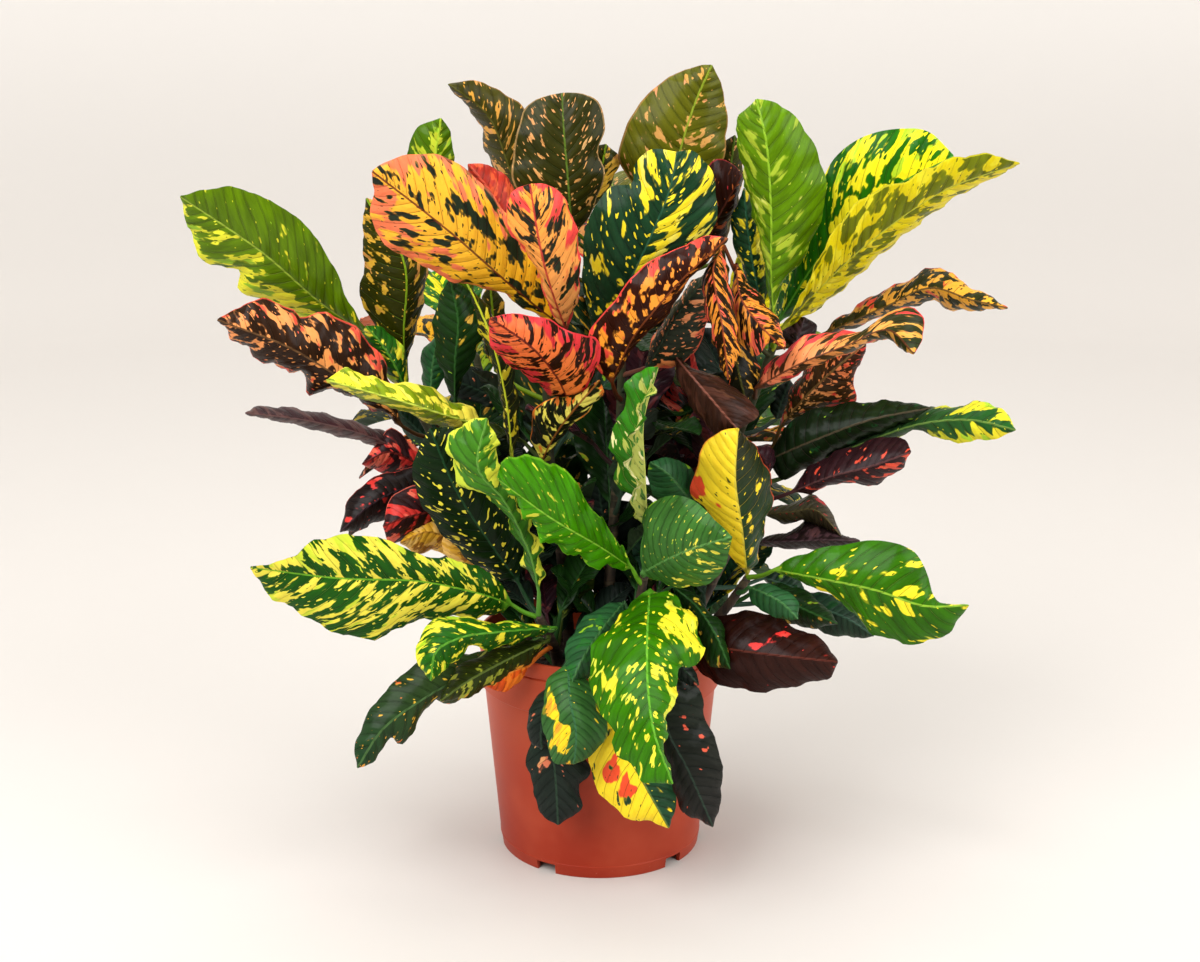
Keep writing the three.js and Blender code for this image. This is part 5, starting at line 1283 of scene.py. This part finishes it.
def leafy_stem(name, leaves, leaf_material, bark_material):
    """One stem with its petioles and leaves, as one piece."""
    foot = STEMS[name][0]
    buried = [(*foot, z) for z in np.linspace(HOLE_FLOOR + FOOT_GAP, SOIL_CROWN + 2, BURIED_ROWS)]
    line = np.vstack([buried, along(stem_points(name), np.linspace(0, 1, STEM_ROWS))])
    share = np.clip(np.linspace(STEM_TAPER_START, 1, len(line)), 0, 1)
    knots = KNOT_HIGH * np.maximum(0, np.sin(np.arange(len(line)) * KNOT_TURN)) ** 3
    radii = STEM_LOW + (STEM_TOP - STEM_LOW) * share + knots * (share > 0.02)
    radii[-1] *= STEM_END
    points, faces = rod_mesh(line, radii, STEM_SIDES)
    parts, choice = [points], [1] * len(faces)
    layers = {layer: [np.zeros((len(points), 3))] for layer in leaves[0][2]}
    offset = len(points)
    for leaf_points, leaf_faces, marks in leaves:
        parts.append(leaf_points)
        faces.extend((leaf_faces + offset).tolist())
        choice.extend([0] * len(leaf_faces))
        offset += len(leaf_points)
        for layer, values in marks.items():
            layers[layer].append(values)
    materials = [leaf_material, bark_material]
    made = add_mesh(f"{name}_stem_and_leaves", np.concatenate(parts), faces, materials, choice)
    for layer, values in layers.items():
        attribute = made.data.attributes.new(layer, "FLOAT_VECTOR", "POINT")
        attribute.data.foreach_set("vector", np.concatenate(values).astype(np.float32).ravel())
    made.data.set_sharp_from_angle(angle=LEAF_SHARP)
    return made


class Wire:
    """A value in a node tree. Arithmetic on it adds Math nodes."""

    def __init__(self, tree, socket=None):
        self.tree = tree
        self.socket = socket

    def node(self, kind, settings, values, output=0):
        """One output of a new node; values are the numbers or links of its inputs, by name or number."""
        made = self.tree.nodes.new(kind)
        for key, value in settings.items():
            setattr(made, key, value)
        for key, value in values.items():
            if isinstance(value, Wire):
                self.tree.links.new(value.socket, made.inputs[key])
            else:
                made.inputs[key].default_value = value
        return Wire(self.tree, made.outputs[output] if made.outputs else None)

    def maths(self, operation, *others):
        return self.node("ShaderNodeMath", {"operation": operation}, dict(enumerate((self, *others))))

    def __add__(self, other):
        return self.maths("ADD", other)

    def __sub__(self, other):
        return self.maths("SUBTRACT", other)

    def __rsub__(self, other):
        return self.maths("MULTIPLY_ADD", -1.0, other)

    def __mul__(self, other):
        return self.maths("MULTIPLY", other)

    def __truediv__(self, other):
        return self.maths("DIVIDE", other)

    def __rtruediv__(self, other):
        return self.maths("POWER", -1.0) * other

    __radd__ = __add__
    __rmul__ = __mul__

    def step(self, low, high):
        """0 below low, 1 above high, and smooth between them."""
        values = {0: self, 1: low, 2: high}
        return self.node("ShaderNodeMapRange", {"interpolation_type": "SMOOTHSTEP"}, values)

    def mix(self, factor, first, second):
        """The first colour where the factor is 0 and the second where it is 1."""
        return self.node("ShaderNodeMix", {"data_type": "RGBA"}, {0: factor, 6: first, 7: second}, 2)

    def parts(self):
        made = self.node("ShaderNodeSeparateXYZ", {}, {0: self})
        return [Wire(self.tree, socket) for socket in made.socket.node.outputs]

    def vector(self, x, y, z):
        return self.node("ShaderNodeCombineXYZ", {}, {0: x, 1: y, 2: z})

    def place(self):
        """The place on the object."""
        return self.node("ShaderNodeTexCoord", {}, {}, "Object")

    def noise(self, at, scale, detail=2.0, rough=0.55):
        values = {"Vector": at, "Scale": scale, "Detail": detail, "Roughness": rough}
        return self.node("ShaderNodeTexNoise", {}, values, "Fac")

    def scaled(self, factor):
        """A colour times a number or a colour."""
        factor = factor if hasattr(factor, "__len__") else (factor,) * 3
        return self.node("ShaderNodeVectorMath", {"operation": "MULTIPLY"}, {0: self, 1: factor})


def rgba(value):
    """A socket's colour from sRGB "#rrggbb"."""
    return (*colour(value), 1)


def new_material(name):
    material = bpy.data.materials.new(name)
    material.use_nodes = True
    material.node_tree.nodes.clear()
    return material, Wire(material.node_tree)


def surface(net, base, roughness, height, bump_mm, constants=()):
    """The shader and the output; height is in units of bump_mm."""
    bump = net.node("ShaderNodeBump", {}, {"Height": height, "Distance": bump_mm * MM, "Strength": 1.0})
    values = {"Base Color": base, "Roughness": roughness, "Normal": bump, **dict(constants)}
    shader = net.node("ShaderNodeBsdfPrincipled", {}, values)
    net.node("ShaderNodeOutputMaterial", {}, {"Surface": shader})


def leaf_finish():
    """Glossy leaf: crisp patches and spots drawn out along the side veins, midrib, veins and paler underside.

    The attributes are the layers of leaf_colours. Lengths are in mm.
    """
    material, net = new_material("croton_leaf_blade")

    def given(name, output="Vector"):
        return net.node("ShaderNodeAttribute", {"attribute_name": name}, {}, output)

    apart, run, share = given("where").parts()
    limit, accent_limit, phase = given("pattern").parts()
    speck_limit, hole_limit, rim = given("spots").parts()
    size, long, soft = given("habit").parts()
    seed, on_blade, under = given("extra").parts()
    ground, mark, accent, rib = (given(name, "Color") for name in ("ground", "mark", "accent", "rib"))
    out = apart.maths("ABSOLUTE")
    side = apart.maths("GREATER_THAN", 0.0)
    ahead = run - out * VEIN_LEAN - out * out * VEIN_BEND

    def field(across, upward, place, detail):
        """Noise this wide and this long along the side veins; place sets one field apart from another."""
        at = net.vector(ahead / across, out / upward, seed + side * 13 + place)
        return net.noise(at, 1.0, detail)

    wide, high = size * PATCH_WIDE, size * long * PATCH_HIGH
    strokes = field(wide * STROKE_SHARE, high * STROKE_SHARE, 17.0, 1.0)
    splash = field(wide, high, 0.0, 1.0) + (strokes - 0.5) * 0.3
    blur = soft * PATCH_BLUR
    marked = splash.step(limit - blur, limit + blur)
    halo = splash.step(limit - 0.04, limit)
    dots = field(1.2 + size * 0.18, 2.4 + size * 0.22, 31.0, 0.0).step(speck_limit, speck_limit + SPOT_BLUR)
    holes = field(2.4, 4.6, 47.0, 0.0).step(hole_limit, hole_limit + SPOT_BLUR)
    tone = field(12.0, 30.0, 91.0, 3.0)
    warm = field(15.0, 22.0, 71.0, 2.0).step(accent_limit - TINT_BLUR, accent_limit + TINT_BLUR)

    between = (phase.maths("FRACT") - 0.5).maths("ABSOLUTE")
    side_vein = between.step(*SIDE_VEIN) * (1 - share * 0.7) * on_blade
    # painted shade: the colour is darkened in the grooves beside the side veins
    painted_vein_shade = between.step(*VEIN_FLANK) * on_blade

    leafy = net.mix(tone.step(0.3, 0.7), ground.scaled(0.72), ground.scaled(1.18))
    leafy = net.mix(painted_vein_shade * VEIN_SHADE_DARK, leafy, leafy.scaled(0.55))
    leafy = net.mix(halo * 0.25, leafy, mark)
    bright = net.mix(warm, mark, accent)
    bright = net.mix(strokes.step(0.5, 0.62) * 0.35, bright, bright.scaled((0.95, 0.84, 0.7)))
    bright = net.mix(holes, bright, ground.scaled(0.8))
    base = net.mix(marked.maths("MAXIMUM", dots), leafy, bright)
    base = net.mix(side_vein * 0.4, base, rib)
    base = net.mix((1 - out.step(*MIDRIB_HALF)) * on_blade * 0.9, base, rib)
    base = net.mix(share.step(*MARGIN) * rim * on_blade, base, accent)
    base = net.mix(on_blade, net.mix(0.5, ground, rib), base)
    base = net.mix(under * 0.6, base, net.mix(0.12, base.scaled(0.8), rgba(UNDERSIDE_COLOUR)))

    cushion = (1 - between * 2).maths("SQRT") * (1 - share * 0.5)
    height = cushion * 0.5 - side_vein * 0.5 + field(3.0, 4.0, 5.0, 3.0) * 0.3
    height = height * (1 - under * 1.7)
    roughness = 0.34 + tone * 0.1 + under * 0.2
    surface(net, base, roughness, height * on_blade, 1.8, SHEEN)
    return material


def bark_finish():
    """Woody stem: dark brown below and green at the top, with uneven leaf scars."""
    material, net = new_material("croton_bark")
    x, y, z = net.place().parts()
    grain = net.noise(net.vector(x * 260, y * 260, z * 60), 1.0, 4.0)
    scars = net.noise(net.vector(x * 22, y * 22, z * 190), 1.0, 1.0).step(0.6, 0.66)
    base = net.mix(grain.step(0.3, 0.7), rgba("#1e150e"), rgba("#4c3a2a"))
    base = net.mix(z.step(0.24, 0.44) * 0.75, base, rgba("#2e3a14"))
    base = net.mix(scars * 0.5, base, rgba("#66563e"))
    surface(net, base, 0.62 + grain * 0.2, grain + scars * 0.4, 0.5)
    return material


def pot_finish():
    """Moulded plastic: satin terracotta with a faint bloom, finely pebbled, scuffed near the foot."""
    material, net = new_material("terracotta_plastic_satin")
    at = net.place()
    z = at.parts()[2]
    cloud = net.noise(at, 14.0, 3.0)
    pebble = net.noise(at, 900.0, 2.0)
    scuff = net.noise(at, 160.0, 5.0, 0.7)
    # painted shade: the pot's colour darkens towards the foot and lightens towards the rim
    base = net.mix(z.step(0.02, 0.19), rgba(POT_SHADED_FOOT_COLOUR), rgba(POT_LIT_TOP_COLOUR))
    base = net.mix(cloud.step(0.35, 0.7) * 0.28, base, rgba(POT_BLOOM_COLOUR))
    worn = scuff.step(0.66, 0.74) * (1 - z.step(0.0, 0.03)) * 0.35
    base = net.mix(worn, base, rgba(POT_WORN_COLOUR))
    height = pebble + scuff * 0.3
    surface(net, base, 0.37 + cloud * 0.12 + worn * 0.2, height, 0.06, {"Specular IOR Level": 0.2})
    return material


def soil_finish():
    """Moist peat: dark lumps with lighter fibres."""
    material, net = new_material("potting_soil_peat")
    at = net.place()
    lump = net.noise(at, 120.0, 6.0, 0.7)
    speck = net.noise(at, 420.0, 2.0)
    base = net.mix(lump.step(0.3, 0.72), rgba("#120d0a"), rgba("#3a2a1f"))
    base = net.mix(speck.step(0.66, 0.72), base, rgba("#5a4634"))
    surface(net, base, 0.86 + lump * 0.1, lump + speck * 0.4, 1.6)
    return material


def chip_finish(name, dark, light):
    """Dull grains between two tones."""
    material, net = new_material(name)
    grain = net.noise(net.place(), 300.0, 4.0)
    base = net.mix(grain.step(0.3, 0.7), rgba(dark), rgba(light))
    surface(net, base, 0.8 + grain * 0.15, grain, 0.4)
    return material


def filleted(points, radius, steps=4):
    """The outline with each inner corner rounded."""
    points = [np.array(p, float) for p in points]
    out = [points[0]]
    for before, corner, after in zip(points, points[1:], points[2:]):
        cut = min(radius, 0.45 * np.linalg.norm(corner - before), 0.45 * np.linalg.norm(after - corner))
        a, b = corner + unit(before - corner) * cut, corner + unit(after - corner) * cut
        for t in np.linspace(0, 1, steps):
            out.append((1 - t) ** 2 * a + 2 * t * (1 - t) * corner + t**2 * b)
    return np.array([*out, points[-1]])


def inner_radius(z):
    """The inside of the pot's wall at a height below the rim band."""
    return FOOT_RADIUS + (BODY_TOP_RADIUS - FOOT_RADIUS) * z / RIM_LOW - WALL


def lathe(outline, turns):
    """Points, walls, point numbers and end faces of an outline from axis to axis, turned round."""
    inner = outline[1:-1]
    rows, sides = len(inner), len(turns)
    points = np.stack([
        inner[:, None, 0] * np.cos(turns)[None],
        inner[:, None, 0] * np.sin(turns)[None],
        np.repeat(inner[:, 1:], sides, 1),
    ], -1).reshape(-1, 3)
    index = np.arange(rows * sides).reshape(rows, sides)
    ring = np.roll(index, -1, axis=1)
    walls = np.stack([index[:-1], ring[:-1], ring[1:], index[1:]], -1)
    poles = len(points)
    points = np.vstack([points, (0, 0, outline[0][1]), (0, 0, outline[-1][1])])
    low = [[poles, b, a] for a, b in zip(index[0], ring[0])]
    high = [[poles + 1, a, b] for a, b in zip(index[-1], ring[-1])]
    return points, walls, index, low + high


def pot_outline():
    """The pot's section, from under its floor over the rim to the floor, and a notch's first and last row."""
    foot_inner = inner_radius(0) - FOOT_THICKER
    notch_wall = FOOT_RADIUS + FOOT_FLARE * NOTCH_HIGH / RING_HIGH
    band = RIM_RADIUS - LIP_PROUD
    groove = band - GROOVE_DEEP
    under = filleted([(0, FOOT_HEIGHT), (foot_inner, FOOT_HEIGHT), (foot_inner, NOTCH_HIGH)], UNDER_FILLET)
    ring = filleted([
        (foot_inner, NOTCH_HIGH),
        (foot_inner, 0),
        (FOOT_RADIUS, 0),
        (notch_wall, NOTCH_HIGH),
    ], RING_FILLET)
    upper = filleted([
        (notch_wall, NOTCH_HIGH),
        (FOOT_RADIUS + FOOT_FLARE, RING_HIGH - RING_EDGE),
        (FOOT_RADIUS + FOOT_FLARE - RING_STEP, RING_HIGH),
        (BODY_TOP_RADIUS, RIM_LOW),
        (band, RIM_LOW + BAND_SLOPE),
        (band, RIM_STEP - BAND_SLOPE),
        (groove, RIM_STEP - GROOVE_HIGH),
        (groove, RIM_STEP),
        (RIM_RADIUS, RIM_STEP + LIP_EDGE),
        (RIM_RADIUS, POT_HEIGHT),
        (RIM_RADIUS - RIM_THICK, POT_HEIGHT),
        (RIM_RADIUS - BAND_THICK, RIM_LOW + SHELF_RISE),
        (inner_radius(RIM_LOW - SHELF_DROP), RIM_LOW - SHELF_DROP),
        (inner_radius(FLOOR_TOP), FLOOR_TOP),
        (0, FLOOR_TOP),
    ], WALL_FILLET)
    return np.vstack([under, ring[1:], upper[1:]]), len(under) - 2, len(under) + len(ring) - 3


def notched_turns():
    """The angles of the pot's columns, three of them at each notch, and the number of each notch's first."""
    half = math.asin(NOTCH_WIDE / 2 / FOOT_RADIUS)
    centres = np.radians(np.array(NOTCH_TURNS) - 90)
    turns, starts = [], []
    for centre, onward in zip(centres, np.r_[centres[1:], centres[0] + 2 * math.pi]):
        starts.append(len(turns))
        steps = round((onward - centre - 2 * half) / (2 * math.pi) * POT_SIDES) + 1
        turns += [centre - half, centre, *np.linspace(centre + half, onward - half, steps)[:-1]]
    return turns, starts


def make_pot(material):
    """The pot, turned from its section, with the notches left out of the foot and cut drains."""
    outline, first, last = pot_outline()
    turns, starts = notched_turns()
    points, walls, index, caps = lathe(outline, turns)
    notched = {start + k for start in starts for k in (0, 1)}
    faces = []
    for row, side in np.ndindex(walls.shape[:2]):
        if not (first <= row < last and side in notched):
            faces.append(walls[row, side])
    for start in starts:
        left, middle, right = (index[first:last + 1, start + k] for k in range(3))
        faces += [left, right[::-1]]
        for a, b in ((left, middle), (middle, right)):
            faces.append([a[0], b[0], b[-1], a[-1]])
    pot = add_mesh("terracotta_pot", points, [*faces, *caps], [material])
    drills = []
    for number in range(DRAINS):
        turn = math.radians(DRAIN_TURN + 360 * number / DRAINS)
        centre = DRAIN_PLACE * math.cos(turn), DRAIN_PLACE * math.sin(turn)
        line = np.array([(*centre, FOOT_HEIGHT - DRILL_SPARE), (*centre, FLOOR_TOP + DRILL_SPARE)])
        drill = rod_mesh(line, [DRAIN_RADIUS] * 2, DRAIN_SIDES)
        drills.append(add_mesh(f"drill{number}", *drill, [material]))
    for drill in drills:
        cut = pot.modifiers.new(drill.name, "BOOLEAN")
        cut.operation = "DIFFERENCE"
        cut.solver = "EXACT"
        cut.object = drill
    bake_modifiers(pot)
    for drill in drills:
        bpy.data.objects.remove(drill)
    pot.data.set_sharp_from_angle(angle=POT_SHARP)
    return pot


def bake_modifiers(obj):
    """The evaluated mesh becomes the object's own mesh."""
    graph = bpy.context.evaluated_depsgraph_get()
    made = bpy.data.meshes.new_from_object(obj.evaluated_get(graph), depsgraph=graph)
    made.name = obj.name
    obj.modifiers.clear()
    obj.data = made


def grain_tree(name, material):
    """Geometry Nodes: lumps of one kind strewn on the faces that look up."""
    tree = bpy.data.node_groups.new(name, "GeometryNodeTree")
    tree.is_modifier = True
    face = tree.interface
    face.new_socket("Geometry", in_out="INPUT", socket_type="NodeSocketGeometry")
    for label in GRAIN_INPUTS:
        kind = "Int" if label == "Seed" else "Float"
        face.new_socket(label, in_out="INPUT", socket_type=f"NodeSocket{kind}")
    face.new_socket("Geometry", in_out="OUTPUT", socket_type="NodeSocketGeometry")
    net = Wire(tree)

    def given(label):
        return net.node("NodeGroupInput", {}, {}, label)

    upward = net.node("GeometryNodeInputNormal", {}, {}).parts()[2]
    level = net.node("FunctionNodeCompare", {"data_type": "FLOAT", "operation": "GREATER_THAN"},
                     {0: upward, 1: GRAIN_LEVEL})
    points = net.node("GeometryNodeDistributePointsOnFaces", {}, {
        "Mesh": given("Geometry"),
        "Selection": level,
        "Density": given("Per square metre"),
        "Seed": given("Seed"),
    }, "Points")
    lump = net.node("GeometryNodeMeshIcoSphere", {}, {"Radius": 1.0, "Subdivisions": GRAIN_ROUNDS})
    ragged = net.node("ShaderNodeTexNoise", {}, {"Scale": 0.9}, "Color")
    centred = net.node("ShaderNodeVectorMath", {"operation": "SUBTRACT"}, {0: ragged, 1: (0.5, 0.5, 0.5)})
    shaped = net.node("GeometryNodeSetPosition", {}, {"Geometry": lump, "Offset": centred})
    flat = net.vector(1.0, 0.8, given("Flatness"))
    pressed = net.node("GeometryNodeTransform", {}, {"Geometry": shaped, "Scale": flat})
    turn = net.node("FunctionNodeRandomValue", {"data_type": "FLOAT_VECTOR"},
                    {0: (-0.5, -0.5, 0.0), 1: (0.5, 0.5, 6.283), "Seed": 3})
    large = net.node("FunctionNodeRandomValue", {"data_type": "FLOAT"},
                     {2: given("Smallest"), 3: given("Largest"), "Seed": 4}, 1)
    strewn = net.node("GeometryNodeInstanceOnPoints", {}, {
        "Points": points, "Instance": pressed, "Rotation": turn, "Scale": large})
    real = net.node("GeometryNodeRealizeInstances", {}, {0: strewn})
    painted = net.node("GeometryNodeSetMaterial", {}, {"Geometry": real, "Material": material})
    joined = net.node("GeometryNodeJoinGeometry", {}, {0: painted})
    tree.links.new(given("Geometry").socket, joined.socket.node.inputs[0])
    net.node("NodeGroupOutput", {}, {0: joined})
    return tree


def strew(obj, tree, values):
    """Adds the tree to the object, with a value for each of GRAIN_INPUTS."""
    change = obj.modifiers.new(tree.name, "NODES")
    change.node_group = tree
    names = {item.name: item.identifier for item in tree.interface.items_tree if item.in_out == "INPUT"}
    for label, value in zip(GRAIN_INPUTS, values):
        change[names[label]] = value


def make_soil(peat, bark, perlite, rng):
    """Uneven potting soil in the pot, with crumbs, bark chips and perlite on top."""
    edge = inner_radius(SOIL_EDGE)
    low = FLOOR_TOP + SOIL_LIFT
    side = [(0, low), (inner_radius(low) - SOIL_GAP, low), (edge - SOIL_GAP, SOIL_EDGE)]
    shoulder = edge - SOIL_SHOULDER[0], SOIL_EDGE + SOIL_SHOULDER[1]
    middle = SOIL_MIDDLE[0], SOIL_CROWN - SOIL_MIDDLE[1]
    crown = along([side[-1], shoulder, middle, (0, SOIL_CROWN)], np.linspace(0, 1, SOIL_ROWS)[1:])
    points, walls, _, caps = lathe(np.vstack([side, crown]), ROUND)
    x, y, z = points.T
    phases = rng.random((SOIL_WAVES, 2)) * 2 * math.pi
    turn_x, turn_y = SOIL_WAVE_TURNS
    bumps = 0
    for k, (a, b) in enumerate(phases, 1):
        bumps = bumps + np.sin(x * turn_x * k + a) * np.sin(y * turn_y * k + b) / k
    upper = (z > SOIL_EDGE + 0.2) & (np.hypot(x, y) < edge - SOIL_LEVEL_MARGIN)
    points[:, 2] += np.where(upper, bumps * SOIL_WAVE_HIGH, 0)
    soil = add_mesh("potting_soil_filled", points, [*walls.reshape(-1, 4), *caps], [peat])
    for number, ((name, *sizes), finish) in enumerate(zip(GRAINS, (peat, bark, perlite))):
        strew(soil, grain_tree(name, finish), [*sizes, SEED + number])
    bake_modifiers(soil)
    return soil


def make_stage():
    """A plain pale floor that curves up all round and is dim behind the eye."""
    outline = np.vstack([along(STAGE_OUTLINE, np.linspace(0, 1, 40)), (0, STAGE_OUTLINE[-1][1])])
    points, walls, _, caps = lathe(outline, ROUND)
    points[:, 2] = np.maximum(points[:, 2], 0)
    faces = [face[::-1] for face in [*walls.reshape(-1, 4), *caps[:len(ROUND)]]]
    material, net = new_material("pale_floor")
    x, y, z = net.place().parts()
    behind = y.step(*STAGE_DIM)
    # painted light: away from the middle and in front of the eye the floor and backdrop glow, which brightens
    # them and lights the plant
    glow = (x * x + y * y).maths("SQRT").step(0.6, 3.6)
    pale = net.mix(z.step(0.1, 1.6), rgba(FLOOR_COLOUR), rgba(BACKDROP_COLOUR))
    shader = net.node("ShaderNodeBsdfPrincipled", {}, {
        "Base Color": net.mix(behind, rgba(DIM_COLOUR), pale),
        "Roughness": 0.55,
        "Emission Color": net.mix(glow * behind, rgba("#000000"), rgba(GLOW_COLOUR)),
        "Emission Strength": 1.0,
    })
    net.node("ShaderNodeOutputMaterial", {}, {"Surface": shader})
    add_mesh("studio_floor", points, faces, [material])


def add_light(name, place, size, power):
    data = bpy.data.lights.new(name, "AREA")
    data.shape = "SQUARE"
    data.size = size
    data.energy = power
    lamp = bpy.data.objects.new(name, data)
    bpy.context.scene.collection.objects.link(lamp)
    lamp.location = place
    lamp.rotation_euler = (Vector(LAMP_TARGET) - Vector(place)).to_track_quat("-Z", "Y").to_euler()


def light_stage():
    bpy.context.scene.view_settings.view_transform = "Standard"
    world = bpy.data.worlds.new("studio_air")
    world.use_nodes = True
    air = world.node_tree.nodes["Background"].inputs
    air["Color"].default_value = AIR_COLOUR
    air["Strength"].default_value = AIR_LIGHT
    bpy.context.scene.world = world
    for lamp in LAMPS:
        add_light(*lamp)


def add_camera():
    data = bpy.data.cameras.new("camera")
    data.sensor_width = SENSOR
    data.lens = SIGHT_LONG / PICTURE_WIDE * SENSOR
    data.clip_start, data.clip_end = (distance * MM for distance in VIEW_RANGE)
    eye = bpy.data.objects.new("camera", data)
    bpy.context.scene.collection.objects.link(eye)
    eye.location = EYE * MM
    eye.rotation_euler = (math.pi / 2 - EYE_DOWN, 0, 0)
    bpy.context.scene.camera = eye


leaf = leaf_finish()
bark = bark_finish()
rng = np.random.default_rng(SEED)

pot = make_pot(pot_finish())
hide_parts("pot")
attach(pot, "root")

chips = chip_finish("bark_chip", "#2a1a10", "#6b472c")
soil = make_soil(soil_finish(), chips, chip_finish("perlite", "#b9b4aa", "#e9e6df"), rng)
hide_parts("potting_soil")
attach(soil, "root")

for name, leaves in grow_leaves().items():
    piece = leafy_stem(name, leaves, leaf, bark)
    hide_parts(f"{name}_leafy_stem")
    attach(piece, "root")

make_stage()
light_stage()
add_camera()
